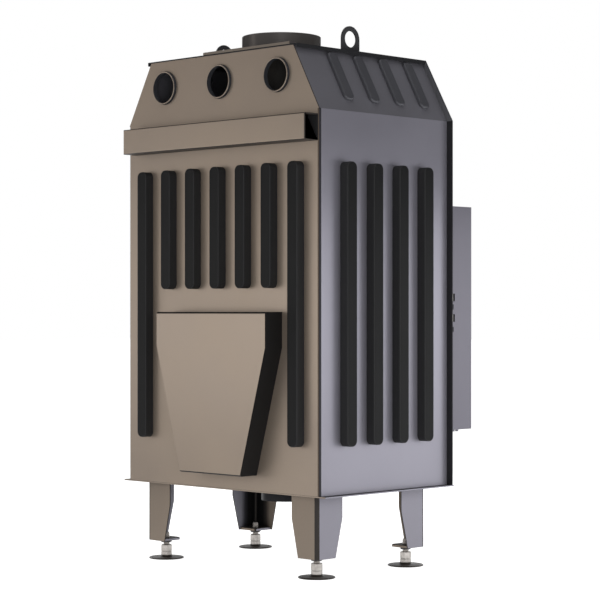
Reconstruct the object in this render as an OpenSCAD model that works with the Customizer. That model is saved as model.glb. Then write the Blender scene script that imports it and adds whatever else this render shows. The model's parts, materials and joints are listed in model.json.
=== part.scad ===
// Wood-burning fireplace insert: casing with hot-air hood, glazed door, lined firebox and levelling legs.
// +Z is up, the door faces -Y and the flat back faces +Y. Left is -X, as seen from in front of the door.
// The origin is on the floor, at the middle of the whole part's footprint.

/* [Casing] */
// Width of the casing across its side panels
body_w = 680; // [560:10:820]
// Depth of the casing, from the front plate to the back face
body_d = 462; // [400:6:560]
// Height of the casing, from the base plate to the eave
body_h = 911; // [860:1:1060]
// Thickness of the casing sheet
sheet_t = 3; // [2:0.5:4]
// Outer radius of the casing's rear corner bends
corner_r = 4; // [3.5:0.5:7]
// How far the front plate stands out past each side panel
flange_w = 17; // [8:1:30]
// How far the base plate stands out past each side panel
base_lip = 21; // [8:1:30]

/* [Hood] */
// Height of the hood above the eave
hood_h = 156; // [120:1:220]
// Width of the hood at its top
hood_top_w = 510; // [400:10:540]
// How far the top plate stands out past the hood
top_lip = 13; // [4:1:24]
// Bore of a hot-air spigot
spigot_bore = 76; // [60:1:90]
// Wall of a hot-air spigot
spigot_wall = 4; // [2:0.5:6]
// How far a spigot stands out of the hood
spigot_out = 7.5; // [4:0.5:30]
// Distance between neighbouring spigots
spigot_pitch = 201; // [140:1:210]

/* [Flue and lifting eyes] */
// Outside diameter of the flue collar
flue_d = 200; // [150:5:220]
// Wall of the flue collar
flue_wall = 3; // [2:0.5:4]
// Height of the flue collar above the top plate
flue_up = 60; // [40:1:90]
// Width of a lifting eye
eye_w = 64; // [54:1:76]
// Height of a lifting eye
eye_h = 65; // [56:1:80]
// Hole in a lifting eye
eye_hole = 40; // [24:1:44]
// Thickness of a lifting eye
eye_t = 5; // [4:0.5:8]

/* [Ribs] */
// Width of a rib
rib_w = 34; // [26:1:44]
// Height of a rib off its panel
rib_out = 25; // [12:1:32]
// Sheet thickness of a rib
rib_t = 2; // [1.5:0.5:3]
// Radius of a rib's end corners
rib_end_r = 14; // [8:1:16]
// Distance between neighbouring rear ribs
rear_rib_pitch = 90; // [70:1:96]
// Distance between neighbouring side ribs
side_rib_pitch = 92.5; // [60:0.5:100]
// Height of the emboss of a hood rib
hood_rib_out = 9; // [5:1:14]

/* [Rear beam and air box] */
// Height of the rear beam
beam_h = 63; // [40:1:80]
// Depth of the rear beam
beam_out = 45; // [30:1:56]
// Depth of the rear air box
plenum_out = 57; // [46:1:80]
// Width of the rear air box at its top
plenum_w = 388; // [260:4:440]
// Width of the rear air box at its foot
plenum_foot_w = 215; // [150:5:260]
// Height of the rear air box
plenum_h = 395; // [300:5:400]

/* [Door surround and door] */
// Depth of the door surround in front of the front plate
surround_d = 93; // [88:1:140]
// Height of the door surround
surround_h = 563; // [500:1:600]
// Thickness of the door leaf
leaf_t = 24; // [22:1:28]
// Gap between the door leaf and the surround at the sides
leaf_gap = 6; // [4:0.5:8]
// Visible width of the door leaf's bars
leaf_bar = 68; // [66:1:76]
// Thickness of the glass
glass_t = 4; // [4:0.5:5]
// Diameter of the seal rope
seal_d = 9; // [8:0.5:10]
// Diameter of the hinge pins
hinge_pin_d = 10; // [8:0.5:12]
// How far the door handle stands out of the surround
handle_out = 36; // [30:1:60]

/* [Firebox] */
// Gap between the firebox shell and the casing's side panels
shell_gap = 37; // [30:1:50]
// Sheet thickness of the firebox shell
shell_t = 4; // [3:0.5:6]
// Thickness of the lining boards
lining_t = 30; // [20:1:35]
// Width of the grate
grate_w = 300; // [200:10:340]
// Depth of the grate
grate_d = 220; // [160:10:240]
// Outside diameter of the outside-air collar under the base
inlet_d = 125; // [90:1:140]
// Travel of the air control
air_travel = 60; // [30:5:64]

/* [Legs and feet] */
// Height of a leg
leg_h = 152; // [120:1:200]
// Width of a leg's front or rear flange at its top
leg_top_w = 85; // [76:1:96]
// Width of a leg's flange at its foot
leg_foot_w = 64; // [60:1:70]
// Diameter of the levelling stud
stud_d = 16; // [12:1:18]
// Diameter of a foot pad
pad_d = 90; // [60:1:110]
// Height of a leg's foot above the floor
foot_clear = 47; // [42:1:60]

/* [Hidden] */
$fn = 64;

// Overrun of a cut past the face it cuts, and the clearance between pieces that move or are laid in
cut = 1;
fit = 0.3;
running_fit = 0.05;

// Frame: the footprint's middle in Y lies midway between the handle's front and the air box's back
plate_t = sheet_t;
front_reach = plate_t + surround_d + handle_out;
y_back = (body_d + front_reach + plenum_out) / 2 - plenum_out;
y_front = y_back - body_d;
y_mid = (y_back + y_front) / 2;
y_surround = y_front - plate_t - surround_d;
z_leg = foot_clear;
z_base_under = z_leg + leg_h;
z_base = z_base_under + sheet_t;
z_eave = z_base + body_h;
z_hood = z_eave + hood_h;
z_top = z_hood + sheet_t;
half_w = body_w / 2;
hood_half = hood_top_w / 2;
top_half = hood_half + top_lip;
hood_lean = half_w - hood_half;
hood_angle = atan(hood_lean / hood_h);
lid_fold = 6.5;
rear_wrap = 8;
spigot_z = 89;
spigot_in = 2;
spigot_xs = [-spigot_pitch, 0, spigot_pitch];

// Flue, lifting eyes and the upstand at the back edge of the top
flue_y_off = 16;
flue_y = y_mid + flue_y_off;
neck_d = flue_d - 2 * flue_wall - 2 * running_fit;
neck_up = 20;
eye_inset = 20;
eye_left_x = hood_half - eye_inset;
eye_right_y_off = -6;
eye_left_y_off = 12;
strip_h = 6.5;
strip_t = 2;
strip_left = 243;
strip_right = 60;

// Ribs: places are measured up from the base plate
rib_top = 789;
rib_long_low = 114;
rib_short_low = 490;
rear_short_ribs = 5;
rear_rib_off = -5;
side_rib_off = 3;
hood_rib_w = 33;
hood_rib_off = -25;
hood_rib_pitch = 91.5;
hood_rib_end_r = 13;
hood_rib_low = 30;
hood_rib_high = 165;

// Rear beam and rear air box
beam_low = 835;
beam_t = 2.5;
beam_end_left = 337;
beam_end_right = 313;
plenum_low = 38;
plenum_straight = 85;
plenum_off = -24;
plenum_t = 2;
plenum_port_w = 180;
plenum_port_h = 30;
plenum_port_up = 40;

// Legs, counted from the casing's corners, and their feet
leg_in_x = 36;
leg_in_back = 31;
leg_in_front = 43;
leg_t = 3;
leg_bend_r = 8.5;
leg_straight = 57;
leg_side_more = 3;
leg_cap = 70;
foot_plate_w = 60;
foot_plate_t = 7;
foot_plate_r = 6;
foot_in = 34;
stud_up = 20;
stud_fit = 0.3;
nut_af = 24;
nut_h = 6;
nut_flange_d = 31;
nut_flange_h = 2;
pad_t = 4;
hub_d = 30;
hub_h = 4;
hub_sink = 2;
sleeve_d = 28;
sleeve_ring_d = 27;
sleeve_top = 35;
sleeve_ring_low = 17;
sleeve_ring_h = 1;
leg_bolt_d = 8;
leg_bolt_head_af = 13;
leg_bolt_head_h = 5.5;
leg_bolt_nut_h = 6.5;
leg_bolt_end = 3;
leg_bolt_near = 22;
leg_bolt_far = 56;

// Door surround, its windows and its lower tabs, counted from the front plate and from its own foot
surround_low = 136;
surround_t = 3;
z_sur = z_base + surround_low;
z_sur_mid = z_sur + surround_h / 2;
window_in = 20.5;
window_big_w = 15;
window_small_w = 5;
window_heights = [19, 13, 19, 12];
window_ups = [29, 8, -23, -48];
tongue_w = 3.5;
tongue_out = 1;
tab_w = 9;
tab_h = 4.5;
tab_ins = [19, 33];
boss_d = 24;
boss_h = 8;

// Door leaf
leaf_recess = 2;
leaf_end_gap = 4;
leaf_half = half_w - surround_t - leaf_gap;
leaf_h = surround_h - 2 * surround_t - 2 * leaf_end_gap;
z_leaf = z_sur + surround_t + leaf_end_gap;
y_leaf = y_surround + leaf_recess;
lip_t = 6;
rebate = 12;
glass_bed = 0.3;
glass_side_gap = 2;
groove_in = 37;
groove_w = 10;
groove_deep = 6.5;
seal_corner_r = 14;
hinge_in = 9;
hinge_x = leaf_half - hinge_in;
hinge_y = y_leaf + hinge_in;
pin_reach = 25;
pin_head_d = 16;
pin_head_h = 4;
bush_wall = 3;
bush_flange_d = 20;
bush_d = hinge_pin_d + 2 * running_fit + 2 * bush_wall;
clip_w = 24;
clip_t = 2.5;
clip_reach = 14;
clip_foot = 8;
clip_screw_d = 5.5;
clip_screw_h = 2.5;
clip_share = 0.5;

// Latch: its height is counted from the surround's foot
latch_up = 295;
latch_in = 18;
latch_x = -leaf_half + latch_in;
z_latch = z_sur + latch_up;
shaft_d = 12;
shaft_fit = 0.05;
cam_t = 5;
cam_w = 12;
cam_hub_d = 18;
cam_reach = 19;
cam_clear = 2;
seat_t = 4;
seal_fit = 0.3;
y_leaf_back = y_leaf + leaf_t;
y_seat = y_leaf_back - groove_deep + seal_d + seal_fit;
y_cam = y_seat + seat_t + cam_clear;
notch_w = 38;
notch_gap = 4;
keeper_t = 3;
keeper_lip = 12;
keeper_lip_h = 30;
keeper_h = 110;
notch_h = keeper_h + 2 * notch_gap;
hub_out = 8;
lever_w = 16;
lever_t = 7;
lever_len = 120;
grip_d = 16;
grip_from_share = 0.25;

// Firebox, counted up from the base plate
shell_low = 40;
shell_kink = 700;
shell_roof = 860;
shell_roof_w = 300;
shell_back_gap = 41;
shell_half = half_w - sheet_t - shell_gap;
y_shell_back = y_back - shell_back_gap;
y_inside_back = y_shell_back - shell_t;
y_inside_front = y_front + shell_t;
mouth_low = 186;
mouth_side = 55;
mouth_w = body_w - 2 * mouth_side;
mouth_h = 463;
mouth_t = 4;
slab_low = 156;
slab_t = 30;
ledge_w = 20;
ledge_t = 4;
lining_top = 640;
lining_front_gap = 38;
board_t = 25;
board_d = 290;
plate_baffle_t = 4;
plate_baffle_d = 320;
y_grate = (y_inside_front + y_inside_back) / 2;
grate_seat = 12;
grate_t = 18;
grate_bar = 14;
grate_slot = 10;
pan_w = 250;
pan_d = 190;
pan_h = 70;
pan_t = 1.5;
pan_lip = 10;
guard_h = 48;
guard_t = 6;
guard_in = 20;
guard_foot = 16;
guard_slots = 9;
guard_slot_w = 24;
guard_slot_r = 6;
guard_slot_h = 20;
rail_w = 40;
rail_t = 3;
rail_gap = 22;
rail_off = half_w - leg_in_x - leg_bolt_far - rail_gap - rail_w / 2;

// Air path under the firebox
inlet_wall = 2;
inlet_down = 42;
air_box_w = 200;
air_box_back = 80;
air_box_t = 3;
slider_w = 140;
slider_d = 136;
slider_t = 3;
slider_gap = 9;
air_box_front = slider_d / 2 + air_travel + slider_gap + air_box_t;
guide_h = 8;
guide_w = 10;
rod_d = 8;
rod_up = 12;
rod_fit = 0.4;
knob_d = 22;
knob_len = 24;
knob_gap = 10;
y_rod_front = y_front - plate_t - knob_gap;
floor_port_w = 120;
floor_port_d = 26;
floor_port_in = 4;
grille_slots = 9;
grille_slot_w = 9;
grille_slot_h = 62;
grille_low = 44;
grille_pitch = 24;
grille_side_share = 0.5;

// Outer corner of the leg that stands at the given signs, and its foot's axis
function leg_corner(sx, sy) =
    [sx * (half_w - leg_in_x), sy > 0 ? y_back - leg_in_back : y_front + leg_in_front];
function foot_spot(sx, sy) = leg_corner(sx, sy) - [sx * foot_in, sy * foot_in];
leg_bolt_ins = [[leg_bolt_near, leg_bolt_far], [leg_bolt_far, leg_bolt_near]];
leg_bolt_spots = [for (sx = [-1, 1], sy = [-1, 1], in = leg_bolt_ins)
    leg_corner(sx, sy) - [sx * in.x, sy * in.y]];

sheet_col = [0.50, 0.46, 0.42];
side_col = [0.52, 0.52, 0.55];
black_col = [0.12, 0.12, 0.13];
zinc_col = [0.74, 0.72, 0.70];
brass_col = [0.72, 0.60, 0.32];
rope_col = [0.82, 0.80, 0.74];
glass_col = [0.25, 0.27, 0.28, 0.4];
lining_col = [0.80, 0.74, 0.62];

// Rectangle with round corners, centred
module round_rect(w, d, r) {
    square([w - 2 * r, d], center = true);
    square([w, d - 2 * r], center = true);
    for (sx = [-1, 1], sy = [-1, 1])
        translate([sx * (w / 2 - r), sy * (d / 2 - r)]) circle(r);
}

// Box given by its two corners
module span(low, high) {
    translate(low) cube(high - low);
}

// Plate that stands across the depth, from an outline in X and Z
module upright(y_low, y_high) {
    translate([0, y_high, 0]) rotate([90, 0, 0]) linear_extrude(y_high - y_low) children();
}

// Hollow cap with round ends that stands on a panel: local Y runs along it, local Z off the panel
module rib(w, len, out, end_r, wall) {
    translate([0, len / 2, 0]) difference() {
        linear_extrude(out) round_rect(w, len, end_r);
        translate([0, 0, -cut]) linear_extrude(out - wall + cut)
            round_rect(w - 2 * wall, len - 2 * wall, end_r - wall);
    }
}

module hex(af, h) {
    cylinder(d = af / cos(30), h = h, $fn = 6);
}

// Mirrored in X, in Y or in both
module flip(in_x, in_y) {
    mirror([in_x ? 1 : 0, 0, 0]) mirror([0, in_y ? 1 : 0, 0]) children();
}

// Offsets of n places, a pitch apart, about a middle
function mid_row(n, pitch) = [for (i = [0:n - 1]) (i - (n - 1) / 2) * pitch];

module base_plate() {
    color(black_col) difference() {
        span([-half_w - base_lip, y_front - plate_t, z_base_under], [half_w + base_lip, y_back, z_base]);
        translate([0, y_mid, z_base_under - cut])
            cylinder(d = inlet_d - 2 * inlet_wall, h = sheet_t + 2 * cut);
        for (p = leg_bolt_spots) translate([p.x, p.y, z_base_under - cut])
            cylinder(d = leg_bolt_d + 2 * fit, h = sheet_t + 2 * cut);
    }
}

// The rear panel wraps round both rear corners and ends a little way along the sides
module rear_panel() {
    color(sheet_col) difference() {
        translate([0, y_mid, z_base]) linear_extrude(body_h) intersection() {
            difference() {
                round_rect(body_w, body_d, corner_r);
                round_rect(body_w - 2 * sheet_t, body_d - 2 * sheet_t, corner_r - sheet_t);
            }
            translate([-body_w, body_d / 2 - rear_wrap]) square([2 * body_w, body_d]);
        }
        translate([plenum_off, y_back + cut, z_base + plenum_low + plenum_port_up]) rotate([90, 0, 0])
            linear_extrude(sheet_t + 2 * cut) translate([0, plenum_port_h / 2])
                square([plenum_port_w, plenum_port_h], center = true);
    }
}

module side_panel(side) {
    color(side_col) translate([side * (half_w - sheet_t / 2), 0, z_base])
        span([-sheet_t / 2, y_front, 0], [sheet_t / 2, y_back - rear_wrap, body_h]);
}

module side_panel_left() { side_panel(-1); }

module side_panel_right() { side_panel(1); }

module front_plate() {
    edge = half_w + flange_w;
    color(side_col) difference() {
        upright(y_front - plate_t, y_front) polygon([[-edge, z_base], [edge, z_base], [edge, z_eave],
            [top_half, z_top], [-top_half, z_top], [-edge, z_eave]]);
        mouth_opening(y_front - plate_t - cut, y_front + cut);
        for (x = mid_row(grille_slots, grille_pitch), side = [-1, 1])
            translate([x + side * half_w * grille_side_share, 0, z_base + grille_low])
                upright(y_front - plate_t - cut, y_front + cut)
                    translate([0, grille_slot_h / 2])
                        round_rect(grille_slot_w, grille_slot_h, grille_slot_w / 2 - running_fit);
        translate([0, y_front + cut, z_base + rod_up]) rotate([90, 0, 0])
            cylinder(d = rod_d + 2 * rod_fit, h = plate_t + 2 * cut);
    }
}

// Opening for the firebox mouth, shared by the front plate and the shell
module mouth_opening(y_low, y_high) {
    span([-mouth_w / 2 - mouth_t, y_low, z_base + mouth_low],
        [mouth_w / 2 + mouth_t, y_high, z_base + mouth_low + mouth_h]);
}

module hood_rear_panel() {
    color(sheet_col) {
        difference() {
            upright(y_back - sheet_t, y_back)
                polygon([[-half_w, z_eave], [half_w, z_eave], [hood_half, z_hood], [-hood_half, z_hood]]);
            for (x = spigot_xs) translate([x, y_back + cut, z_eave + spigot_z]) rotate([90, 0, 0])
                cylinder(d = spigot_bore + 2 * spigot_wall + 2 * running_fit, h = sheet_t + 2 * cut);
        }
        span([-strip_left, y_back - strip_t, z_top], [strip_right, y_back, z_top + strip_h]);
    }
}

// Slanted hood side: a sheet with raised ribs pressed into it
module hood_side(side) {
    th = sheet_t / cos(hood_angle);
    color(side_col) mirror([side < 0 ? 0 : 1, 0, 0]) difference() {
        union() {
            upright(y_front, y_back - sheet_t) polygon([[-half_w, z_eave], [-hood_half, z_hood],
                [-hood_half + th, z_hood], [-half_w + th, z_eave]]);
            hood_ribs(0, -sheet_t / 2, hood_rib_out);
        }
        hood_ribs(sheet_t, -sheet_t - cut, hood_rib_out - sheet_t);
    }
}

// Four ribs, drawn in by an inset, from one level to another above the slanted sheet's outer face
module hood_ribs(inset, low, high) {
    len = hood_rib_high - hood_rib_low - 2 * inset;
    for (y = mid_row(4, hood_rib_pitch))
        translate([-half_w, y_mid + hood_rib_off + y, z_eave]) rotate([0, hood_angle, 0])
            translate([0, 0, (hood_rib_low + hood_rib_high) / 2]) rotate([0, -90, 0]) translate([0, 0, low])
                linear_extrude(high - low) round_rect(len, hood_rib_w - 2 * inset, hood_rib_end_r - inset);
}

module hood_side_left() { hood_side(-1); }

module hood_side_right() { hood_side(1); }

// Lid over the hood, folded down along both sides
module top_plate() {
    color(black_col) {
        difference() {
            span([-top_half, y_front, z_hood], [top_half, y_back, z_top]);
            translate([0, flue_y, z_hood - cut])
                cylinder(d = flue_d - 2 * flue_wall, h = sheet_t + 2 * cut, $fn = 96);
        }
        for (side = [-1, 1]) translate([side * (top_half - sheet_t / 2), 0, z_hood])
            span([-sheet_t / 2, y_front, -lid_fold], [sheet_t / 2, y_back, 0]);
    }
}

// Pipe that stands upright on the flue's axis
module flue_pipe(low, high, od) {
    color(black_col) translate([0, flue_y, low]) difference() {
        cylinder(d = od, h = high - low, $fn = 96);
        translate([0, 0, -cut]) cylinder(d = od - 2 * flue_wall, h = high - low + 2 * cut, $fn = 96);
    }
}

module flue_collar() { flue_pipe(z_top, z_top + flue_up, flue_d); }

// The neck stands on the firebox roof, passes the top plate and ends inside the collar
module flue_neck() { flue_pipe(z_base + shell_roof, z_top + neck_up, neck_d); }

module lifting_eye(x, y) {
    color(black_col) translate([x - eye_t / 2, y, z_top]) rotate([90, 0, 90]) linear_extrude(eye_t)
        difference() {
            intersection() {
                union() {
                    translate([0, eye_h - eye_w / 2]) circle(d = eye_w);
                    translate([-eye_w / 2, 0]) square([eye_w, eye_h - eye_w / 2]);
                }
                translate([-eye_w / 2, 0]) square([eye_w, eye_h]);
            }
            translate([0, eye_h - eye_w / 2]) circle(d = eye_hole);
        }
}

module lifting_eye_left() { lifting_eye(-eye_left_x, y_mid + eye_left_y_off); }

module lifting_eye_right() { lifting_eye(eye_left_x, y_mid + eye_right_y_off); }

module hot_air_spigots() {
    color(sheet_col) for (x = spigot_xs)
        translate([x, y_back + spigot_out, z_eave + spigot_z]) rotate([90, 0, 0]) difference() {
            cylinder(d = spigot_bore + 2 * spigot_wall, h = spigot_out + sheet_t + spigot_in);
            translate([0, 0, -cut]) cylinder(d = spigot_bore, h = spigot_out + sheet_t + spigot_in + 2 * cut);
        }
}

// Channel across the back with open ends
module rear_beam() {
    z = z_base + beam_low;
    color(sheet_col) difference() {
        span([-beam_end_left, y_back, z], [beam_end_right, y_back + beam_out, z + beam_h]);
        span([-beam_end_left - cut, y_back - cut, z + beam_t],
            [beam_end_right + cut, y_back + beam_out - beam_t, z + beam_h - beam_t]);
    }
}

module plenum_outline(inset) {
    top = plenum_w / 2 - inset;
    foot = plenum_foot_w / 2 - inset;
    polygon([[-foot, inset], [foot, inset], [top, plenum_h - plenum_straight], [top, plenum_h - inset],
        [-top, plenum_h - inset], [-top, plenum_h - plenum_straight]]);
}

module air_plenum() {
    color(sheet_col) translate([plenum_off, 0, z_base + plenum_low]) difference() {
        upright(y_back, y_back + plenum_out) plenum_outline(0);
        upright(y_back - cut, y_back + plenum_out - plenum_t) plenum_outline(plenum_t);
    }
}

module rear_rib(x, low) {
    translate([x + rear_rib_off, y_back, z_base + low]) rotate([90, 0, 180])
        rib(rib_w, rib_top - low, rib_out, rib_end_r, rib_t);
}

module rear_ribs_long() {
    long_x = (rear_short_ribs + 1) / 2 * rear_rib_pitch;
    color(black_col) for (side = [-1, 1]) rear_rib(side * long_x, rib_long_low);
}

module rear_ribs_short() {
    color(black_col) for (x = mid_row(rear_short_ribs, rear_rib_pitch)) rear_rib(x, rib_short_low);
}

module side_ribs(side) {
    color(black_col) for (y = mid_row(4, side_rib_pitch))
        translate([side * half_w, y_mid + side_rib_off + y, z_base + rib_long_low]) rotate([90, 0, side * 90])
            rib(rib_w, rib_top - rib_long_low, rib_out, rib_end_r, rib_t);
}

module side_ribs_left() { side_ribs(-1); }

module side_ribs_right() { side_ribs(1); }

module air_inlet_collar() {
    color(black_col) translate([0, y_mid, z_base_under - inlet_down]) difference() {
        cylinder(d = inlet_d, h = inlet_down);
        translate([0, 0, -cut]) cylinder(d = inlet_d - 2 * inlet_wall, h = inlet_down + 2 * cut);
    }
}

// One flange of a leg, drawn from its bend: straight at the top, then tapering to the foot
module leg_flange(top_w) {
    translate([0, leg_t, 0]) rotate([90, 0, 0]) linear_extrude(leg_t)
        polygon([[leg_bend_r, 0], [leg_foot_w, 0], [top_w, leg_h - leg_straight], [top_w, leg_h],
            [leg_bend_r, leg_h]]);
}

// Square plate between a leg's flanges, with a round free corner
module foot_plate() {
    round_in = foot_plate_w - foot_plate_r;
    span([leg_t, leg_t, 0], [foot_plate_w, round_in, foot_plate_t]);
    span([leg_t, leg_t, 0], [round_in, foot_plate_w, foot_plate_t]);
    translate([round_in, round_in, 0]) cylinder(r = foot_plate_r, h = foot_plate_t);
}

// Folded leg at the origin's corner, reaching towards +X and +Y
module leg_at_corner() {
    leg_flange(leg_top_w);
    mirror([1, -1, 0]) leg_flange(leg_top_w + leg_side_more);
    linear_extrude(leg_h) intersection() {
        square(leg_bend_r);
        translate([leg_bend_r, leg_bend_r]) difference() {
            circle(leg_bend_r);
            circle(leg_bend_r - leg_t);
        }
    }
    difference() {
        span([leg_t, leg_t, leg_h - leg_t], [leg_cap, leg_cap, leg_h]);
        for (p = leg_bolt_ins) translate([p.x, p.y, leg_h - leg_t - cut])
            cylinder(d = leg_bolt_d + 2 * fit, h = leg_t + 2 * cut);
        translate([0, 0, leg_h - leg_t - cut]) cube([leg_bend_r, leg_bend_r, leg_t + 2 * cut]);
    }
    difference() {
        foot_plate();
        translate([0, 0, -cut]) cube([leg_bend_r, leg_bend_r, foot_plate_t + 2 * cut]);
        translate([foot_in, foot_in, -cut]) cylinder(d = stud_d + 2 * stud_fit, h = foot_plate_t + 2 * cut);
    }
}

module leg(sx, sy) {
    corner = leg_corner(sx, sy);
    color(sheet_col) translate([corner.x, corner.y, z_leg]) flip(sx > 0, sy > 0) leg_at_corner();
}

module leg_rear_left() { leg(-1, 1); }

module leg_rear_right() { leg(1, 1); }

module leg_front_left() { leg(-1, -1); }

module leg_front_right() { leg(1, -1); }

// On the vertical axis of one foot
module at_foot(sx, sy) {
    spot = foot_spot(sx, sy);
    translate([spot.x, spot.y, 0]) children();
}

module foot_nut() {
    difference() {
        union() {
            translate([0, 0, -nut_h]) hex(nut_af, nut_h - nut_flange_h);
            translate([0, 0, -nut_flange_h]) cylinder(d = nut_flange_d, h = nut_flange_h);
        }
        translate([0, 0, -nut_h - cut]) cylinder(d = stud_d + 2 * stud_fit, h = nut_h + 2 * cut);
    }
}

module leg_bolt() {
    under = z_base_under - leg_t;
    translate([0, 0, under - leg_bolt_head_h]) hex(leg_bolt_head_af, leg_bolt_head_h);
    translate([0, 0, under]) cylinder(d = leg_bolt_d, h = leg_t + sheet_t + leg_bolt_nut_h + leg_bolt_end);
    translate([0, 0, z_base]) hex(leg_bolt_head_af, leg_bolt_nut_h);
}

module leg_fasteners() {
    color(zinc_col) {
        for (p = leg_bolt_spots) translate([p.x, p.y, 0]) leg_bolt();
        for (sx = [-1, 1], sy = [-1, 1]) at_foot(sx, sy) translate([0, 0, z_leg]) foot_nut();
    }
}

// Levelling stud with a thick ringed sleeve that stands on the pad's hub
module stud(sx, sy) {
    low = pad_t + hub_h - hub_sink;
    seat = pad_t + hub_h;
    ring_top = sleeve_ring_low + sleeve_ring_h;
    color(zinc_col) at_foot(sx, sy) {
        translate([0, 0, low]) cylinder(d = stud_d, h = z_leg + stud_up - low);
        translate([0, 0, seat]) cylinder(d = sleeve_d, h = sleeve_ring_low - seat);
        translate([0, 0, sleeve_ring_low]) cylinder(d = sleeve_ring_d, h = sleeve_ring_h);
        translate([0, 0, ring_top]) cylinder(d = sleeve_d, h = sleeve_top - ring_top);
    }
}

module stud_rear_left() { stud(-1, 1); }

module stud_rear_right() { stud(1, 1); }

module stud_front_left() { stud(-1, -1); }

module stud_front_right() { stud(1, -1); }

module pad(sx, sy) {
    color(black_col) at_foot(sx, sy) difference() {
        union() {
            cylinder(d = pad_d, h = pad_t);
            cylinder(d = hub_d, h = pad_t + hub_h);
        }
        translate([0, 0, pad_t + hub_h - hub_sink])
            cylinder(d = stud_d + 2 * running_fit, h = hub_sink + cut);
    }
}

module pad_rear_left() { pad(-1, 1); }

module pad_rear_right() { pad(1, 1); }

module pad_front_left() { pad(-1, -1); }

module pad_front_right() { pad(1, -1); }

// Box-shaped surround in front of the front plate, with windows in its left wall for the latch keeper
module door_surround() {
    y_plate = y_front - plate_t;
    color(side_col) {
        difference() {
            upright(y_surround, y_plate) translate([0, z_sur_mid]) difference() {
                square([body_w, surround_h], center = true);
                square([body_w - 2 * surround_t, surround_h - 2 * surround_t], center = true);
            }
            for (i = [0:3]) {
                w = i % 2 == 0 ? window_big_w : window_small_w;
                y = y_plate - window_in;
                span([-half_w - cut, y - w / 2, z_latch + window_ups[i]],
                    [-half_w + surround_t + cut, y + w / 2, z_latch + window_ups[i] + window_heights[i]]);
            }
            for (z = [z_sur - cut, z_sur + surround_h - surround_t - cut]) translate([hinge_x, hinge_y, z])
                cylinder(d = hinge_pin_d + 2 * running_fit, h = surround_t + 2 * cut);
        }
        for (x = tab_ins)
            span([-half_w, y_plate - x - tab_w, z_sur - tab_h], [-half_w + surround_t, y_plate - x, z_sur]);
        for (z = [z_sur - boss_h, z_sur + surround_h]) translate([hinge_x, hinge_y, z]) difference() {
            cylinder(d = boss_d, h = boss_h);
            translate([0, 0, -cut]) cylinder(d = hinge_pin_d + 2 * running_fit, h = boss_h + 2 * cut);
        }
    }
}

// Bracket on the surround's left wall: tongues fill part of the big windows and the lip holds the cam
module latch_keeper() {
    wall = -half_w + surround_t;
    y_plate = y_front - plate_t;
    y_window = y_plate - window_in;
    y_lip = y_cam - fit;
    color(zinc_col) {
        difference() {
            span([wall, y_lip - keeper_t, z_latch - keeper_h / 2],
                [wall + keeper_t, y_plate, z_latch + keeper_h / 2]);
            for (i = [1, 3]) translate([wall - cut, y_window - window_small_w / 2, z_latch + window_ups[i]])
                cube([keeper_t + 2 * cut, window_small_w, window_heights[i]]);
        }
        for (i = [0, 2])
            translate([wall, y_window - tongue_w / 2, z_latch + window_ups[i] + fit])
                mirror([1, 0, 0]) cube([surround_t - tongue_out, tongue_w, window_heights[i] - 2 * fit]);
    }
}

// Tongue welded across the keeper's front edge: the cam turns in behind it
module keeper_tongue() {
    x_wall = -half_w + surround_t + keeper_t;
    color(zinc_col) translate([x_wall, y_cam - fit - keeper_t, z_latch - keeper_lip_h / 2])
        cube([keeper_lip - keeper_t, keeper_t, keeper_lip_h]);
}

// Each pin passes the boss and the wall of the surround, and ends inside the leaf
module hinge_pins() {
    reach = boss_h + surround_t + leaf_end_gap + pin_reach;
    color(zinc_col) {
        translate([hinge_x, hinge_y, z_sur - boss_h]) {
            cylinder(d = hinge_pin_d, h = reach);
            translate([0, 0, -pin_head_h]) cylinder(d = pin_head_d, h = pin_head_h);
        }
        translate([hinge_x, hinge_y, z_sur + surround_h + boss_h]) {
            translate([0, 0, -reach]) cylinder(d = hinge_pin_d, h = reach);
            cylinder(d = pin_head_d, h = pin_head_h);
        }
    }
}

module leaf_rect(inset) {
    translate([0, z_leaf + leaf_h / 2]) square([2 * (leaf_half - inset), leaf_h - 2 * inset], center = true);
}

module door_frame() {
    color(black_col) difference() {
        upright(y_leaf, y_leaf_back) leaf_rect(0);
        upright(y_leaf - cut, y_leaf_back + cut) leaf_rect(leaf_bar);
        upright(y_leaf + lip_t, y_leaf_back + cut) leaf_rect(leaf_bar - rebate);
        upright(y_leaf_back - groove_deep, y_leaf_back + cut) translate([0, z_leaf + leaf_h / 2])
            difference() {
                groove_edge(groove_w / 2);
                groove_edge(-groove_w / 2);
            }
        for (z = [z_leaf - cut, z_leaf + leaf_h - pin_reach - fit]) translate([hinge_x, hinge_y, z])
            cylinder(d = bush_d + 2 * running_fit, h = pin_reach + fit + cut);
        translate([latch_x, y_leaf_back + cut, z_latch]) rotate([90, 0, 0])
            cylinder(d = shaft_d + 2 * shaft_fit, h = leaf_t + 2 * cut);
    }
}

// Round-cornered outline, a little outside or inside the rope's middle line
module groove_edge(out) {
    round_rect(2 * (leaf_half - groove_in + out), leaf_h - 2 * (groove_in - out), seal_corner_r + out);
}

// Bushes in the leaf: a sleeve on the pin and a flange that keeps the leaf off the surround
module door_bushes() {
    color(brass_col) for (k = [0, 1])
        translate([hinge_x, hinge_y, z_leaf + k * leaf_h]) mirror([0, 0, k]) difference() {
            union() {
                cylinder(d = bush_d, h = pin_reach);
                translate([0, 0, -leaf_end_gap + fit]) cylinder(d = bush_flange_d, h = leaf_end_gap - fit);
            }
            translate([0, 0, -leaf_end_gap])
                cylinder(d = hinge_pin_d + 2 * running_fit, h = pin_reach + leaf_end_gap + cut);
        }
}

module door_glass() {
    inset = leaf_bar - rebate + glass_side_gap;
    y = y_leaf + lip_t + glass_bed;
    color(glass_col) upright(y, y + glass_t) leaf_rect(inset);
}

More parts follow.
